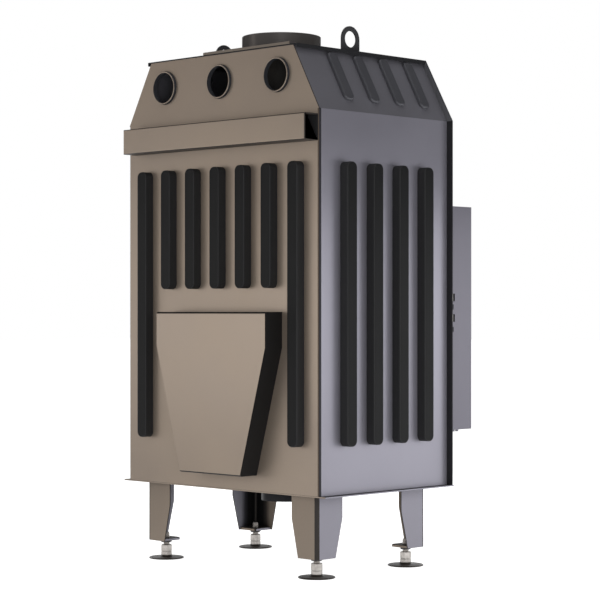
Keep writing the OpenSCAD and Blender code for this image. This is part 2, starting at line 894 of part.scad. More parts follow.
// Round rope that lies in the leaf's groove, with bent corners
module door_seal() {
    a = leaf_half - groove_in;
    b = leaf_h / 2 - groove_in;
    r = seal_corner_r;
    y = y_leaf_back - groove_deep + seal_d / 2;
    color(rope_col) translate([0, y, z_leaf + leaf_h / 2]) rotate([90, 0, 0]) {
        for (s = [-1, 1]) {
            translate([s * a, r - b, 0]) rotate([-90, 0, 0]) cylinder(d = seal_d, h = 2 * (b - r), $fn = 32);
            translate([r - a, s * b, 0]) rotate([0, 90, 0]) cylinder(d = seal_d, h = 2 * (a - r), $fn = 32);
        }
        for (sx = [-1, 1], sy = [-1, 1]) translate([sx * (a - r), sy * (b - r), 0])
            flip(sx < 0, sy < 0) rotate_extrude(angle = 90) translate([r, 0]) circle(d = seal_d, $fn = 32);
    }
}

// Clips on the back of the leaf's bars hold the glass against the front lip
module glass_clips() {
    y_glass = y_leaf + lip_t + glass_bed + glass_t;
    edge = leaf_half - (leaf_bar - rebate);
    mid = z_leaf + leaf_h / 2;
    rise = leaf_h / 2 - (leaf_bar - rebate);
    color(zinc_col) {
        for (s = [-1, 1], z = mid_row(3, (leaf_h - 2 * leaf_bar) * clip_share))
            translate([s * edge, 0, mid + z]) rotate([0, s > 0 ? 0 : 180, 0]) clip(y_glass);
        for (s = [-1, 1], x = mid_row(3, leaf_half * clip_share))
            translate([x, 0, mid + s * rise]) rotate([0, -s * 90, 0]) clip(y_glass);
    }
}

// Local +X points away from the glass: a toe on the glass, a riser on the rebate's wall and a foot on the bar
module clip(y_glass) {
    span([-clip_reach, y_glass, -clip_w / 2], [0, y_glass + clip_t, clip_w / 2]);
    span([-clip_t, y_glass, -clip_w / 2], [0, y_leaf_back + clip_t, clip_w / 2]);
    span([0, y_leaf_back, -clip_w / 2], [clip_foot, y_leaf_back + clip_t, clip_w / 2]);
    translate([clip_foot / 2, y_leaf_back + clip_t + clip_screw_h, 0]) rotate([90, 0, 0])
        cylinder(d = clip_screw_d, h = clip_screw_h);
}

// Handle drawn as it lies unlatched: the lever points away from the near edge of the leaf, towards +X
module handle_lever() {
    grip_x = lever_len * grip_from_share;
    y_grip = y_surround - handle_out + grip_d / 2;
    y_hub = y_leaf - hub_out;
    color(black_col) translate([latch_x, 0, z_latch]) {
        translate([0, y_cam + cam_t, 0]) rotate([90, 0, 0])
            cylinder(d = shaft_d, h = y_cam + cam_t - y_leaf + fit);
        translate([0, y_leaf - fit, 0]) rotate([90, 0, 0]) cylinder(d = 2 * shaft_d, h = hub_out - fit);
        // Arm that rises from the hub to the grip
        translate([0, 0, -lever_w / 2]) linear_extrude(lever_w)
            polygon([[-lever_w / 2, y_hub], [grip_x, y_grip - lever_t / 2],
                [grip_x + grip_d, y_grip - lever_t / 2], [grip_x + grip_d, y_grip + lever_t / 2],
                [lever_w / 2, y_hub + lever_t / 2], [-lever_w / 2, y_hub + lever_t / 2]]);
        translate([grip_x, y_grip, 0]) rotate([0, 90, 0]) cylinder(d = grip_d, h = lever_len - grip_x);
    }
}

// A sleeve keeps the nose off the leaf. It points down while unlatched, and turns behind the keeper's lip
module latch_cam() {
    color(zinc_col) translate([latch_x, y_cam + cam_t, z_latch]) rotate([90, 0, 0]) difference() {
        union() {
            cylinder(d = cam_hub_d, h = cam_t);
            translate([-cam_w / 2, -cam_reach, 0]) cube([cam_w, cam_reach, cam_t]);
        }
        translate([0, 0, -cut]) cylinder(d = shaft_d, h = cam_t + 2 * cut);
    }
}

// Sleeve on the shaft that keeps the cam clear of the leaf
module cam_spacer() {
    reach = y_cam - y_leaf_back - fit;
    color(zinc_col) translate([latch_x, y_cam, z_latch]) rotate([90, 0, 0]) difference() {
        cylinder(d = cam_hub_d, h = reach);
        translate([0, 0, -cut]) cylinder(d = shaft_d, h = reach + 2 * cut);
    }
}

module shell_outline(inset) {
    a = shell_half - inset;
    b = shell_roof_w / 2 - inset / 2;
    polygon([[-a, z_base + shell_low + inset], [a, z_base + shell_low + inset], [a, z_base + shell_kink],
        [b, z_base + shell_roof - inset], [-b, z_base + shell_roof - inset], [-a, z_base + shell_kink]]);
}

module firebox_shell() {
    inner = shell_half - shell_t;
    color(black_col) {
        difference() {
            upright(y_front, y_shell_back) shell_outline(0);
            upright(y_inside_front, y_inside_back) shell_outline(shell_t);
            mouth_opening(y_front - cut, y_inside_front + cut);
            translate([0, flue_y, z_base + shell_roof - shell_t - cut])
                cylinder(d = neck_d - 2 * flue_wall, h = shell_t + 2 * cut, $fn = 96);
            translate([0, y_mid - air_box_front + floor_port_in, z_base + shell_low - cut])
                translate([-floor_port_w / 2, 0, 0]) cube([floor_port_w, floor_port_d, shell_t + 2 * cut]);
        }
        for (side = [-1, 1])
            translate([side * (inner - ledge_w / 2) - ledge_w / 2, y_inside_front, z_base - ledge_t]) {
                translate([0, 0, slab_low]) cube([ledge_w, y_inside_back - y_inside_front, ledge_t]);
                translate([0, 0, shell_kink]) cube([ledge_w, plate_baffle_d, ledge_t]);
            }
    }
}

// Seat plate for the rope, with a notch for the latch, and the throat that leads into the shell
module firebox_mouth() {
    wide = body_w - 2 * surround_t - 2 * fit;
    high = surround_h - 2 * surround_t - 2 * fit;
    mid = z_base + mouth_low + mouth_h / 2;
    color(black_col) {
        difference() {
            upright(y_seat, y_seat + seat_t) difference() {
                translate([0, z_sur_mid]) square([wide, high], center = true);
                translate([0, mid]) square([mouth_w, mouth_h - 2 * mouth_t], center = true);
            }
            span([-half_w, y_seat - cut, z_latch - notch_h / 2],
                [-half_w + notch_w, y_seat + seat_t + cut, z_latch + notch_h / 2]);
        }
        upright(y_seat + seat_t, y_inside_front) translate([0, mid]) difference() {
            square([mouth_w + 2 * mouth_t - 2 * running_fit, mouth_h - 2 * running_fit], center = true);
            square([mouth_w, mouth_h - 2 * mouth_t], center = true);
        }
    }
}

module firebox_rails() {
    color(black_col) for (s = [-1, 1]) translate([s * rail_off, 0, z_base]) difference() {
        span([-rail_w / 2, y_front + rail_w, 0], [rail_w / 2, y_shell_back - rail_w, shell_low]);
        span([-rail_w / 2 + rail_t, y_front + rail_w - cut, -cut],
            [rail_w / 2 - rail_t, y_shell_back - rail_w + cut, shell_low - rail_t]);
    }
}

module back_lining() {
    half = shell_half - shell_t - lining_t - fit;
    color(lining_col) span([-half, y_inside_back - lining_t, z_base + slab_low + slab_t],
        [half, y_inside_back, z_base + lining_top]);
}

module side_lining(side) {
    inner = shell_half - shell_t;
    color(lining_col) translate([side * (inner - lining_t / 2), 0, 0])
        span([-lining_t / 2, y_inside_front + lining_front_gap, z_base + slab_low + slab_t],
            [lining_t / 2, y_inside_back, z_base + lining_top]);
}

module side_lining_left() { side_lining(-1); }

module side_lining_right() { side_lining(1); }

module hearth_slab() {
    inner = shell_half - shell_t;
    z = z_base + slab_low;
    color(lining_col) difference() {
        span([-inner, y_inside_front, z], [inner, y_inside_back, z + slab_t]);
        translate([0, y_grate, z + slab_t - grate_t]) linear_extrude(grate_t + cut)
            square([grate_w, grate_d], center = true);
        translate([0, y_grate, z - cut]) linear_extrude(slab_t)
            square([grate_w - 2 * grate_seat, grate_d - 2 * grate_seat], center = true);
    }
}

module grate() {
    w = grate_w - 2 * fit;
    d = grate_d - 2 * fit;
    n = floor((w - 2 * grate_bar) / (grate_bar + grate_slot));
    color(black_col) translate([0, y_grate, z_base + slab_low + slab_t - grate_t]) difference() {
        span([-w / 2, -d / 2, 0], [w / 2, d / 2, grate_t - fit]);
        for (x = mid_row(n, grate_bar + grate_slot)) translate([x, 0, -cut]) linear_extrude(grate_t + 2 * cut)
            round_rect(grate_slot, d - 2 * grate_bar, grate_slot / 2 - running_fit);
    }
}

module ash_pan() {
    z = z_base + shell_low + shell_t;
    color(black_col) translate([0, y_grate, z]) {
        difference() {
            linear_extrude(pan_h) square([pan_w, pan_d], center = true);
            translate([0, 0, pan_t]) linear_extrude(pan_h)
                square([pan_w - 2 * pan_t, pan_d - 2 * pan_t], center = true);
        }
        span([-pan_w / 2 - pan_lip, -pan_d / 2, pan_h], [-pan_w / 2 + pan_t, pan_d / 2, pan_h + pan_t]);
        span([pan_w / 2 - pan_t, -pan_d / 2, pan_h], [pan_w / 2 + pan_lip, pan_d / 2, pan_h + pan_t]);
    }
}

// Cast bar that stands on the hearth behind the glass and keeps the logs back
module log_retainer() {
    half = mouth_w / 2 - guard_in;
    y = y_inside_front + lining_front_gap - guard_foot - guard_t;
    z = z_base + slab_low + slab_t;
    color(black_col) {
        difference() {
            span([-half, y, z], [half, y + guard_t, z + guard_h]);
            for (x = mid_row(guard_slots, 2 * half / (guard_slots + 1))) translate([x, 0, z + guard_h / 2])
                upright(y - cut, y + guard_t + cut) round_rect(guard_slot_w, guard_slot_h, guard_slot_r);
        }
        for (s = [-1, 1]) translate([s * (half - guard_foot / 2) - guard_foot / 2, y + guard_t, z])
            cube([guard_foot, guard_foot - fit, guard_t]);
    }
}

module baffle_board() {
    inner = shell_half - shell_t - fit;
    color(lining_col) span([-inner, y_inside_back - board_d, z_base + lining_top],
        [inner, y_inside_back - fit, z_base + lining_top + board_t]);
}

module baffle_plate() {
    inner = shell_half - shell_t - ledge_w / 2;
    color(black_col) span([-inner, y_inside_front + fit, z_base + shell_kink],
        [inner, y_inside_front + plate_baffle_d, z_base + shell_kink + plate_baffle_t]);
}

// Walls between the base plate and the shell's floor, round the outside-air collar
module air_box() {
    color(black_col) {
        translate([0, y_mid, z_base]) difference() {
            span([-air_box_w / 2, -air_box_front, 0], [air_box_w / 2, air_box_back, shell_low]);
            span([air_box_t - air_box_w / 2, air_box_t - air_box_front, -cut],
                [air_box_w / 2 - air_box_t, air_box_back - air_box_t, shell_low + cut]);
            translate([0, air_box_t - air_box_front + cut, rod_up]) rotate([90, 0, 0])
                cylinder(d = rod_d + 2 * rod_fit, h = air_box_t + 2 * cut);
        }
        for (side = [-1, 1])
            translate([side * (slider_w / 2 + fit + guide_w / 2), y_mid + air_box_t - air_box_front, z_base])
                translate([-guide_w / 2, 0, 0])
                    cube([guide_w, air_box_front + air_box_back - 2 * air_box_t, guide_h]);
    }
}

// Closed at rest: the plate covers the collar's mouth, and pulling the knob towards -Y uncovers it
module air_slider() {
    color(zinc_col) translate([0, y_mid, z_base + fit]) {
        span([-slider_w / 2, -slider_d / 2, 0], [slider_w / 2, slider_d / 2, slider_t]);
        span([-guide_w, -slider_d / 2, slider_t], [guide_w, slider_t - slider_d / 2, rod_up + rod_d - fit]);
    }
}

module air_rod() {
    y_in = y_mid - slider_d / 2;
    color(zinc_col) translate([0, y_in, z_base + rod_up]) rotate([90, 0, 0])
        cylinder(d = rod_d, h = y_in - y_rod_front, $fn = 32);
}

module air_knob() {
    color(black_col) translate([0, y_rod_front, z_base + rod_up]) rotate([90, 0, 0])
        cylinder(d = knob_d, h = knob_len);
}

base_plate();
rear_panel();
side_panel_left();
side_panel_right();
front_plate();
hood_rear_panel();
hood_side_left();
hood_side_right();
top_plate();
flue_collar();
flue_neck();
lifting_eye_left();
lifting_eye_right();
hot_air_spigots();
rear_beam();
air_plenum();
rear_ribs_long();
rear_ribs_short();
side_ribs_left();
side_ribs_right();
air_inlet_collar();
leg_rear_left();
leg_rear_right();
leg_front_left();
leg_front_right();
leg_fasteners();
stud_rear_left();
stud_rear_right();
stud_front_left();
stud_front_right();
pad_rear_left();
pad_rear_right();
pad_front_left();
pad_front_right();
door_surround();
latch_keeper();
keeper_tongue();
hinge_pins();
door_frame();
door_glass();
door_seal();
glass_clips();
door_bushes();
handle_lever();
latch_cam();
cam_spacer();
firebox_shell();
firebox_mouth();
firebox_rails();
back_lining();
side_lining_left();
side_lining_right();
hearth_slab();
grate();
ash_pan();
log_retainer();
baffle_board();
baffle_plate();
air_box();
air_slider();
air_rod();
air_knob();
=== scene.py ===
"""Wood-burning fireplace insert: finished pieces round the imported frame, and the studio that shows them."""

import json
import math

import bmesh
import bpy
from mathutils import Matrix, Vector

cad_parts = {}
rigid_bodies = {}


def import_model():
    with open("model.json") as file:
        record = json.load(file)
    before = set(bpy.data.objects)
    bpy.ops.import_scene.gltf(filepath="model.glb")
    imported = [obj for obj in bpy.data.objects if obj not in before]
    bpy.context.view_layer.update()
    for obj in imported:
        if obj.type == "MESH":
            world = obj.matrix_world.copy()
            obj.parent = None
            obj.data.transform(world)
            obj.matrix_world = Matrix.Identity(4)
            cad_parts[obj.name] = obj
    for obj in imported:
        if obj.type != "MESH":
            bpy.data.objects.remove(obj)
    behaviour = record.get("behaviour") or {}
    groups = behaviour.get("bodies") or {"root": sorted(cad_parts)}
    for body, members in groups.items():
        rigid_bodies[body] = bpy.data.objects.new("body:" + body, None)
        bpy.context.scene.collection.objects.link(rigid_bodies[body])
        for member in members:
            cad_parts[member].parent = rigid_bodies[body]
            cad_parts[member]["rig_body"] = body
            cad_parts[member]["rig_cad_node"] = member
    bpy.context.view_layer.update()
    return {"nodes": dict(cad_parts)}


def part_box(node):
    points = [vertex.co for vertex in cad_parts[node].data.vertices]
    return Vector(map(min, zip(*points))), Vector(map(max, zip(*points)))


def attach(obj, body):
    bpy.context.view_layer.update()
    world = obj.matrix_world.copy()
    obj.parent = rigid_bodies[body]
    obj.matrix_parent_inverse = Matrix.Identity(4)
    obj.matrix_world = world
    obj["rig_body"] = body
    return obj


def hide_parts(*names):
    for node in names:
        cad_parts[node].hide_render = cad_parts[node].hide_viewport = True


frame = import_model()
nodes = frame["nodes"]

MM = 0.001
FLAT = math.radians(0.6)  # faces that meet flatter than this are one face
SHARP = math.radians(35)  # edges that turn more than this are worked
TOUCH = 0.1 * MM  # points nearer than this to a plane lie on it
GRAIN = 0.08 * MM  # how deep the grain of stove paint goes
FINE_GRAIN = 0.06 * MM  # and that of a smooth coat


# Colours and finishes

def linear(code):
    """A colour code such as 8a7d72, as the linear values that a socket takes."""
    parts = [int(code[i : i + 2], 16) / 255 for i in (0, 2, 4)]
    return [p / 12.92 if p <= 0.04045 else ((p + 0.055) / 1.055) ** 2.4 for p in parts] + [1]


class Wire:
    """A socket that takes Python's operators, each of which adds a Math node."""

    def __init__(self, finish, socket):
        self.finish, self.socket = finish, socket

    def maths(self, operation, *values):
        return self.finish.add("ShaderNodeMath", {"operation": operation}, dict(enumerate(values)))

    def __add__(self, other):
        return self.maths("ADD", self, other)

    __radd__ = __add__

    def __sub__(self, other):
        return self.maths("SUBTRACT", self, other)

    def __rsub__(self, other):
        return self.maths("SUBTRACT", other, self)

    def __mul__(self, other):
        return self.maths("MULTIPLY", self, other)

    __rmul__ = __mul__

    def __truediv__(self, other):
        return self.maths("DIVIDE", self, other)

    def __gt__(self, other):
        return self.maths("GREATER_THAN", self, other)

    def __lt__(self, other):
        return self.maths("LESS_THAN", self, other)

    def __abs__(self):
        return self.maths("ABSOLUTE", self)

    def low(self, other):
        return self.maths("MINIMUM", self, other)

    def high(self, other):
        return self.maths("MAXIMUM", self, other)

    def wave(self):
        return self.maths("SINE", self)


class Finish:
    """One material: a Principled shader and what feeds it."""

    def __init__(self, name, **constants):
        self.material = bpy.data.materials.new(name)
        self.material.use_nodes = True
        self.tree = self.material.node_tree
        self.tree.nodes.clear()
        out = self.tree.nodes.new("ShaderNodeOutputMaterial")
        self.shader = self.tree.nodes.new("ShaderNodeBsdfPrincipled")
        self.tree.links.new(self.shader.outputs[0], out.inputs[0])
        self.feed(**constants)

    def plug(self, socket, value):
        if isinstance(value, Wire):
            self.tree.links.new(value.socket, socket)
        elif hasattr(socket, "default_value"):
            socket.default_value = value

    def feed(self, **values):
        """Sets or links the shader's own sockets: base_color=..., roughness=..."""
        for key, value in values.items():
            name = key.replace("_", " ").title().replace("Ior", "IOR")
            self.plug(self.shader.inputs[name], value)

    def add(self, kind, settings=None, sockets=None, output=0):
        """Any other node: its type, its settings, and the values or links of its sockets."""
        node = self.tree.nodes.new(kind)
        for key, value in (settings or {}).items():
            if key == "stops":
                ramp = node.color_ramp
                while len(ramp.elements) < len(value):
                    ramp.elements.new(0.5)
                for element, (place, colour) in zip(ramp.elements, value):
                    element.position, element.color = place, colour
            else:
                setattr(node, key, value)
        for key, value in (sockets or {}).items():
            self.plug(node.inputs[key], value)
        return Wire(self, node.outputs[output])

    def place(self):
        return self.add("ShaderNodeTexCoord", output="Object")

    def axes(self):
        """The three separate coordinates of a place."""
        split = self.add("ShaderNodeSeparateXYZ", None, {0: self.place()})
        return [Wire(self, output) for output in split.socket.node.outputs]

    def noise(self, scale, detail=2.0, roughness=0.5):
        sockets = {"Vector": self.place(), "Scale": scale, "Detail": detail, "Roughness": roughness}
        return self.add("ShaderNodeTexNoise", None, sockets)

    def ramp(self, value, *stops):
        return self.add("ShaderNodeValToRGB", {"stops": stops}, {0: value})

    def blend(self, share, first, second):
        return self.add("ShaderNodeMix", {"data_type": "RGBA"}, {0: share, 6: first, 7: second}, output=2)

    def bump(self, height, depth):
        return self.add("ShaderNodeBump", None, {"Height": height, "Distance": depth, "Strength": 1.0})


def coat(name, colour, deeper, roughness, metallic, specular, grain=FINE_GRAIN):
    """Stove enamel on sheet: a fine grain, and a slow change of colour and gloss over the sheet."""
    f = Finish(name, metallic=metallic, specular_ior_level=specular)
    slow = f.noise(5, 3)
    speck = f.noise(420, 2, 0.6)
    tone = f.ramp(slow * 0.7 + speck * 0.3, (0.36, linear(deeper)), (0.64, linear(colour)))
    fine = f.noise(900, 2, 0.5)
    orange_peel = f.noise(160, 1, 0.4)
    skin = f.bump(fine * 0.6 + orange_peel * 0.4, grain)
    f.feed(base_color=tone, roughness=roughness + (slow - 0.5) * 0.12 + (speck - 0.5) * 0.06, normal=skin)
    return f.material


def fold_shade_coat(name, colour, shade):
    """The coat inside a folded leg, with painted shade that deepens to near black towards the fold."""
    f = Finish(name, metallic=0.3, specular_ior_level=0.25)
    x, y, _ = f.axes()
    from_fold = (LEG_FOLD_X - abs(x)).high(LEG_FOLD_Y - abs(y - LEG_MIDDLE_Y))
    slow = f.noise(14, 3)
    speck = f.noise(420, 2, 0.6)
    out_of_shade = (from_fold - LEG_FULL_SHADE) / LEG_SHADE_FADE + (slow - 0.5) * 0.3
    tone = f.ramp(out_of_shade, (0.05, linear("0c0c0d")), (0.45, linear(shade)), (0.95, linear(colour)))
    f.feed(base_color=tone, roughness=0.5 + (slow - 0.5) * 0.2, normal=f.bump(speck, FINE_GRAIN))
    return f.material


def stove_black(name, colour, roughness, grain, specular=0.16):
    """Matte black stove paint."""
    f = Finish(name, specular_ior_level=specular)
    slow = f.noise(7, 3)
    speck = f.noise(600, 3, 0.6)
    tone = f.blend(slow * 0.5 + speck * 0.5, linear(colour[0]), linear(colour[1]))
    f.feed(base_color=tone, roughness=roughness + (slow - 0.5) * 0.1, normal=f.bump(speck, grain))
    return f.material


def zinc_plate():
    """Bright zinc plating with its faint bloom."""
    f = Finish("zinc_plate", metallic=0.7)
    bloom = f.noise(60, 4, 0.6)
    fine = f.noise(1500, 2)
    tone = f.ramp(bloom, (0.35, linear("a39e99")), (0.65, linear("c4bfba")))
    f.feed(base_color=tone, roughness=0.24 + bloom * 0.16, normal=f.bump(fine, 0.02 * MM))
    return f.material


def raw_iron():
    """Cast iron under a thin matte black wash: sand-cast skin with coarse and fine grain."""
    f = Finish("cast_iron_skin", metallic=0.35, specular_ior_level=0.3)
    coarse = f.noise(180, 4, 0.65)
    fine = f.noise(900, 3, 0.6)
    skin = coarse * 0.6 + fine * 0.4
    tone = f.ramp(skin, (0.3, linear("1d1c1c")), (0.7, linear("38363a")))
    f.feed(base_color=tone, roughness=0.62 + (fine - 0.5) * 0.3, normal=f.bump(skin, 0.4 * MM))
    return f.material


def fire_steel():
    """Heat-proof grey paint inside the casing."""
    f = Finish("fire_steel", metallic=0.2, specular_ior_level=0.3)
    slow = f.noise(9, 4, 0.6)
    fine = f.noise(700, 2)
    tone = f.ramp(slow * 0.7 + fine * 0.3, (0.35, linear("2c2a28")), (0.66, linear("45413d")))
    f.feed(base_color=tone, roughness=0.6 + (slow - 0.5) * 0.2, normal=f.bump(fine, GRAIN))
    return f.material


def bronze():
    """Sintered bronze of the hinge bushes: metal with pores."""
    f = Finish("bush_bronze", metallic=1.0)
    pores = f.noise(1400, 3, 0.7)
    tone = f.ramp(pores, (0.35, linear("6a4d25")), (0.55, linear("c59a58")))
    f.feed(base_color=tone, roughness=0.45 - pores * 0.1, normal=f.bump(pores, GRAIN))
    return f.material


def vermiculite():
    """Pressed mineral board: pale sandy ground with flat gold and brown flakes."""
    f = Finish("lining_board", specular_ior_level=0.2)
    sockets = {"Vector": f.place(), "Scale": 260.0, "Randomness": 1.0}
    flakes = f.add("ShaderNodeTexVoronoi", {"feature": "F1"}, sockets, output=1)
    shade = f.add("ShaderNodeRGBToBW", None, {0: flakes})
    fine = f.noise(1100, 4, 0.7)
    slow = f.noise(6, 3)
    tone = f.ramp(shade * 0.65 + fine * 0.35, (0.3, linear("8f7450")), (0.45, linear("c2a77b")),
                  (0.62, linear("d8c39b")), (0.78, linear("ebdcb9")))
    tone = f.blend(slow * 0.35, tone, linear("b59b74"))
    f.feed(base_color=tone, roughness=0.86 + fine * 0.1, normal=f.bump(shade * 0.5 + fine * 0.5, 0.6 * MM))
    return f.material


def rope_braid():
    """Glass-fibre seal rope, knitted round: two sets of slanting strands that cross."""
    f = Finish("seal_braid", specular_ior_level=0.2)
    x, y, z = f.axes()
    along = (x + z) * 900
    knit = (along + y * 1500).wave().high((along - y * 1500).wave())
    hair = f.noise(2600, 3, 0.7)
    tone = f.ramp(knit * 0.35 + hair * 0.5 + 0.25, (0.2, linear("8d8a82")), (0.8, linear("dedad0")))
    f.feed(base_color=tone, roughness=0.85 + hair * 0.1, normal=f.bump(knit * 0.5 + hair * 0.5, 0.8 * MM))
    return f.material


def stove_glass(low, high, border):
    """Clear glass ceramic with a printed black band round its edge that fades in dots."""
    f = Finish("stove_glass", roughness=0.04, specular_ior_level=0.55)
    x, _, z = f.axes()
    middle = (low + high) / 2
    half = (high - low) / 2
    across = half.x - abs(x - middle.x)
    up = half.z - abs(z - middle.z)
    edge = across.low(up)
    dots, dotted = 900, 12 * MM
    dot = (x * dots).wave() * (z * dots).wave() * 0.5 + 0.5
    printed = (dot > (edge - border) / dotted) * (edge < border + dotted)
    smear = f.noise(8, 4, 0.6)
    f.feed(base_color=f.blend(printed, linear("16181a"), linear("060606")),
           alpha=printed * 0.66 + 0.34 + (smear - 0.5) * 0.04)
    return f.material


def moulded_knob():
    """Black moulded knob and grip."""
    f = Finish("moulded_knob", specular_ior_level=0.35)
    fine = f.noise(500, 2)
    slow = f.noise(40, 2)
    f.feed(base_color=f.blend(slow, linear("131313"), linear("1f1f20")), roughness=0.32 + fine * 0.12,
           normal=f.bump(fine, 0.04 * MM))
    return f.material


LEG_FOLD_X, LEG_FOLD_Y = 304 * MM, 194 * MM  # how far the legs' folds stand from the middle between them
LEG_MIDDLE_Y = 43.5 * MM  # where that middle is
LEG_FULL_SHADE = 30 * MM  # strip of full painted shade inside a leg's fold
LEG_SHADE_FADE = 30 * MM  # strip beside it where the painted shade fades out

# Lit copies of one stove coat: a warm-lit copy for sheets that face back, a cool-lit copy for sheets that
# face aside
rear_warm_lit_coat = coat("rear_warm_lit_coat", "998b7d", "93867a", 0.4, 0.5, 0.3)
side_cool_lit_coat = coat("side_cool_lit_coat", "908e98", "8b8993", 0.4, 0.5, 0.3)
# Painted shade: darker copies of the coat for the hood's upward-leaning sides, and darker still for their
# ribs
hood_shade_coat = coat("hood_side_shade_coat", "737279", "6c6b71", 0.42, 0.3, 0.3)
hood_rib_shade_coat = coat("hood_rib_shade_coat", "55555a", "4f4f54", 0.42, 0.3, 0.3)
# Cool-lit copy of the coat for the door casing's outer sides
surround_cool_lit_coat = coat("surround_cool_lit_coat", "706e77", "6b6972", 0.45, 0.35, 0.3)
# Painted shade: the front plate's shoulders take the hood's dark tone
shoulder_shade_coat = coat("shoulder_shade_coat", "69696d", "636367", 0.45, 0.3, 0.3)
# Warm-lit and cool-lit copies of the coat for the legs' outer faces
leg_rear_warm_lit_coat = coat("leg_rear_warm_lit_coat", "887b6e", "82766a", 0.42, 0.4, 0.3)
leg_side_cool_lit_coat = coat("leg_side_cool_lit_coat", "8c8a94", "87858e", 0.42, 0.35, 0.3)
# Inside the legs: warm- and cool-lit copies of the coat, with painted shade deepening towards the fold
leg_inside_back_warm_lit = fold_shade_coat("leg_inside_back_warm_lit", "8a7e72", "3a3531")
leg_inside_aside_cool_lit = fold_shade_coat("leg_inside_aside_cool_lit", "84838c", "35353a")
# One black paint on the ribs: a darker copy on their faces and a lighter copy on their walls, as painted
# shade and painted light
rib_black = stove_black("rib_black", ("0f0f10", "131314"), 0.6, GRAIN)
# Painted shade on the rear sheet inside the open channel
channel_shade_black = stove_black("channel_shade_black", ("303032", "363638"), 0.6, GRAIN)
# Painted shade on the air box's walls and bends
plenum_shade_black = stove_black("plenum_shade_black", ("1d1c1c", "222121"), 0.6, GRAIN)
rib_wall_lit_black = stove_black("rib_wall_lit_black", ("2b2b2c", "313132"), 0.6, GRAIN)
# Painted shade in the bends: warm where they turn back, cool where they turn aside
bend_shade_warm = stove_black("bend_shade_warm", ("584c42", "5f5348"), 0.5, FINE_GRAIN)
bend_shade_cool = stove_black("bend_shade_cool", ("2b2a2e", "313035"), 0.5, FINE_GRAIN)
top_black = stove_black("top_black", ("232325", "2b2b2e"), 0.5, GRAIN)
# Painted shade: the hood's rear strip above the lid, darker than the lit coat below
strip_shade_brown = stove_black("strip_shade_brown", ("7f756b", "776e65"), 0.5, FINE_GRAIN)
# Painted shade on bends, edges and cut edges
bend_shade_black = stove_black("bend_shade_black", ("35312f", "3b3734"), 0.5, FINE_GRAIN)
# Painted shade in the spigots' bores and on their walls
bore_shade_black = stove_black("bore_shade_black", ("37383c", "3f4044"), 0.7, GRAIN, 0.1)
eye_black = stove_black("eye_black", ("38383a", "424244"), 0.5, GRAIN, 0.3)
pad_black = stove_black("pad_black", ("2b2622", "35302b"), 0.45, 0.1 * MM, 0.3)
collar_steel = coat("collar_steel", "6a6562", "5d5958", 0.34, 0.35, 0.4)
iron_black = stove_black("iron_black", ("151516", "1e1e1f"), 0.5, 0.3 * MM, 0.3)
nut_black = stove_black("nut_black", ("1d1c1b", "2a2826"), 0.4, FINE_GRAIN, 0.5)
zinc = zinc_plate()
iron = raw_iron()
inner = fire_steel()
bush_metal = bronze()
board = vermiculite()
braid = rope_braid()
glass = stove_glass(*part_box("door_glass"), 26 * MM)
knob_black = moulded_knob()


# Hand tools

def only(*objects):
    """Selects these objects and nothing else."""
    bpy.ops.object.select_all(action="DESELECT")
    for piece in objects:
        piece.select_set(True)
    bpy.context.view_layer.objects.active = objects[0]


def work(piece, mode="EDGE"):
    """Opens a piece in edit mode with nothing selected, and gives its mesh."""
    only(piece)
    bpy.ops.object.mode_set(mode="EDIT")
    bpy.ops.mesh.select_mode(type=mode)
    bpy.ops.mesh.select_all(action="DESELECT")
    return bmesh.from_edit_mesh(piece.data)


def leave():
    bpy.ops.object.mode_set(mode="OBJECT")


def copied(node, name):
    """A piece of its own from a CAD node's mesh, with its loose triangles merged into whole faces."""
    only(nodes[node])
    bpy.ops.object.duplicate()
    piece = bpy.context.active_object
    bpy.ops.object.parent_clear(type="CLEAR_KEEP_TRANSFORM")
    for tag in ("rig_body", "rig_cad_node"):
        del piece[tag]
    piece.name = piece.data.name = name
    work(piece)
    bpy.ops.mesh.select_all(action="SELECT")
    bpy.ops.mesh.remove_doubles(threshold=2e-6)
    bpy.ops.mesh.dissolve_limited(angle_limit=FLAT)
    leave()
    return piece


def rounded(piece, radius, test, segments=4):
    """Rounds the sharp edges whose two ends pass the test."""
    mesh = work(piece)
    chosen = [e for e in mesh.edges if len(e.link_faces) == 2 and e.calc_face_angle() > SHARP
              and all(test(v.co) for v in e.verts)]
    for e in chosen:
        e.select_set(True)
    bmesh.update_edit_mesh(piece.data)
    if chosen:
        bpy.ops.mesh.bevel(offset=radius, segments=segments, affect="EDGES", clamp_overlap=True)
    leave()


def modified(piece, kind, **settings):
    """Adds a modifier and applies it."""
    only(piece)
    modifier = piece.modifiers.new(kind.lower(), kind)
    for key, value in settings.items():
        setattr(modifier, key, value)
    bpy.ops.object.modifier_apply(modifier=modifier.name)


def eased(piece, width, segments=2, sharp=SHARP):
    """Breaks every sharp edge that is left by a small width."""
    modified(piece, "BEVEL", width=width, segments=segments, limit_method="ANGLE", angle_limit=sharp,
             use_clamp_overlap=True)


def parted(piece, middle, normal):
    """Cuts the faces of a piece along a plane, so that the two sides can be painted apart."""
    work(piece)
    bpy.ops.mesh.select_all(action="SELECT")
    bpy.ops.mesh.bisect(plane_co=middle, plane_no=normal)
    leave()


def smoothed(piece, angle=32):
    """Smooth shading in which flat faces stay flat."""
    only(piece)
    bpy.ops.object.shade_smooth_by_angle(angle=math.radians(angle))
    modified(piece, "WEIGHTED_NORMAL", keep_sharp=True, weight=80)


def painted(piece, *coats):
    """Gives each face the first finish whose test passes for its normal and middle."""
    piece.data.materials.clear()
    for finish, _ in coats:
        piece.data.materials.append(finish)
    for face in piece.data.polygons:
        for i, (_, test) in enumerate(coats):
            if test(face.normal, face.center):
                face.material_index = i
                break


def anywhere(normal, middle):
    return True


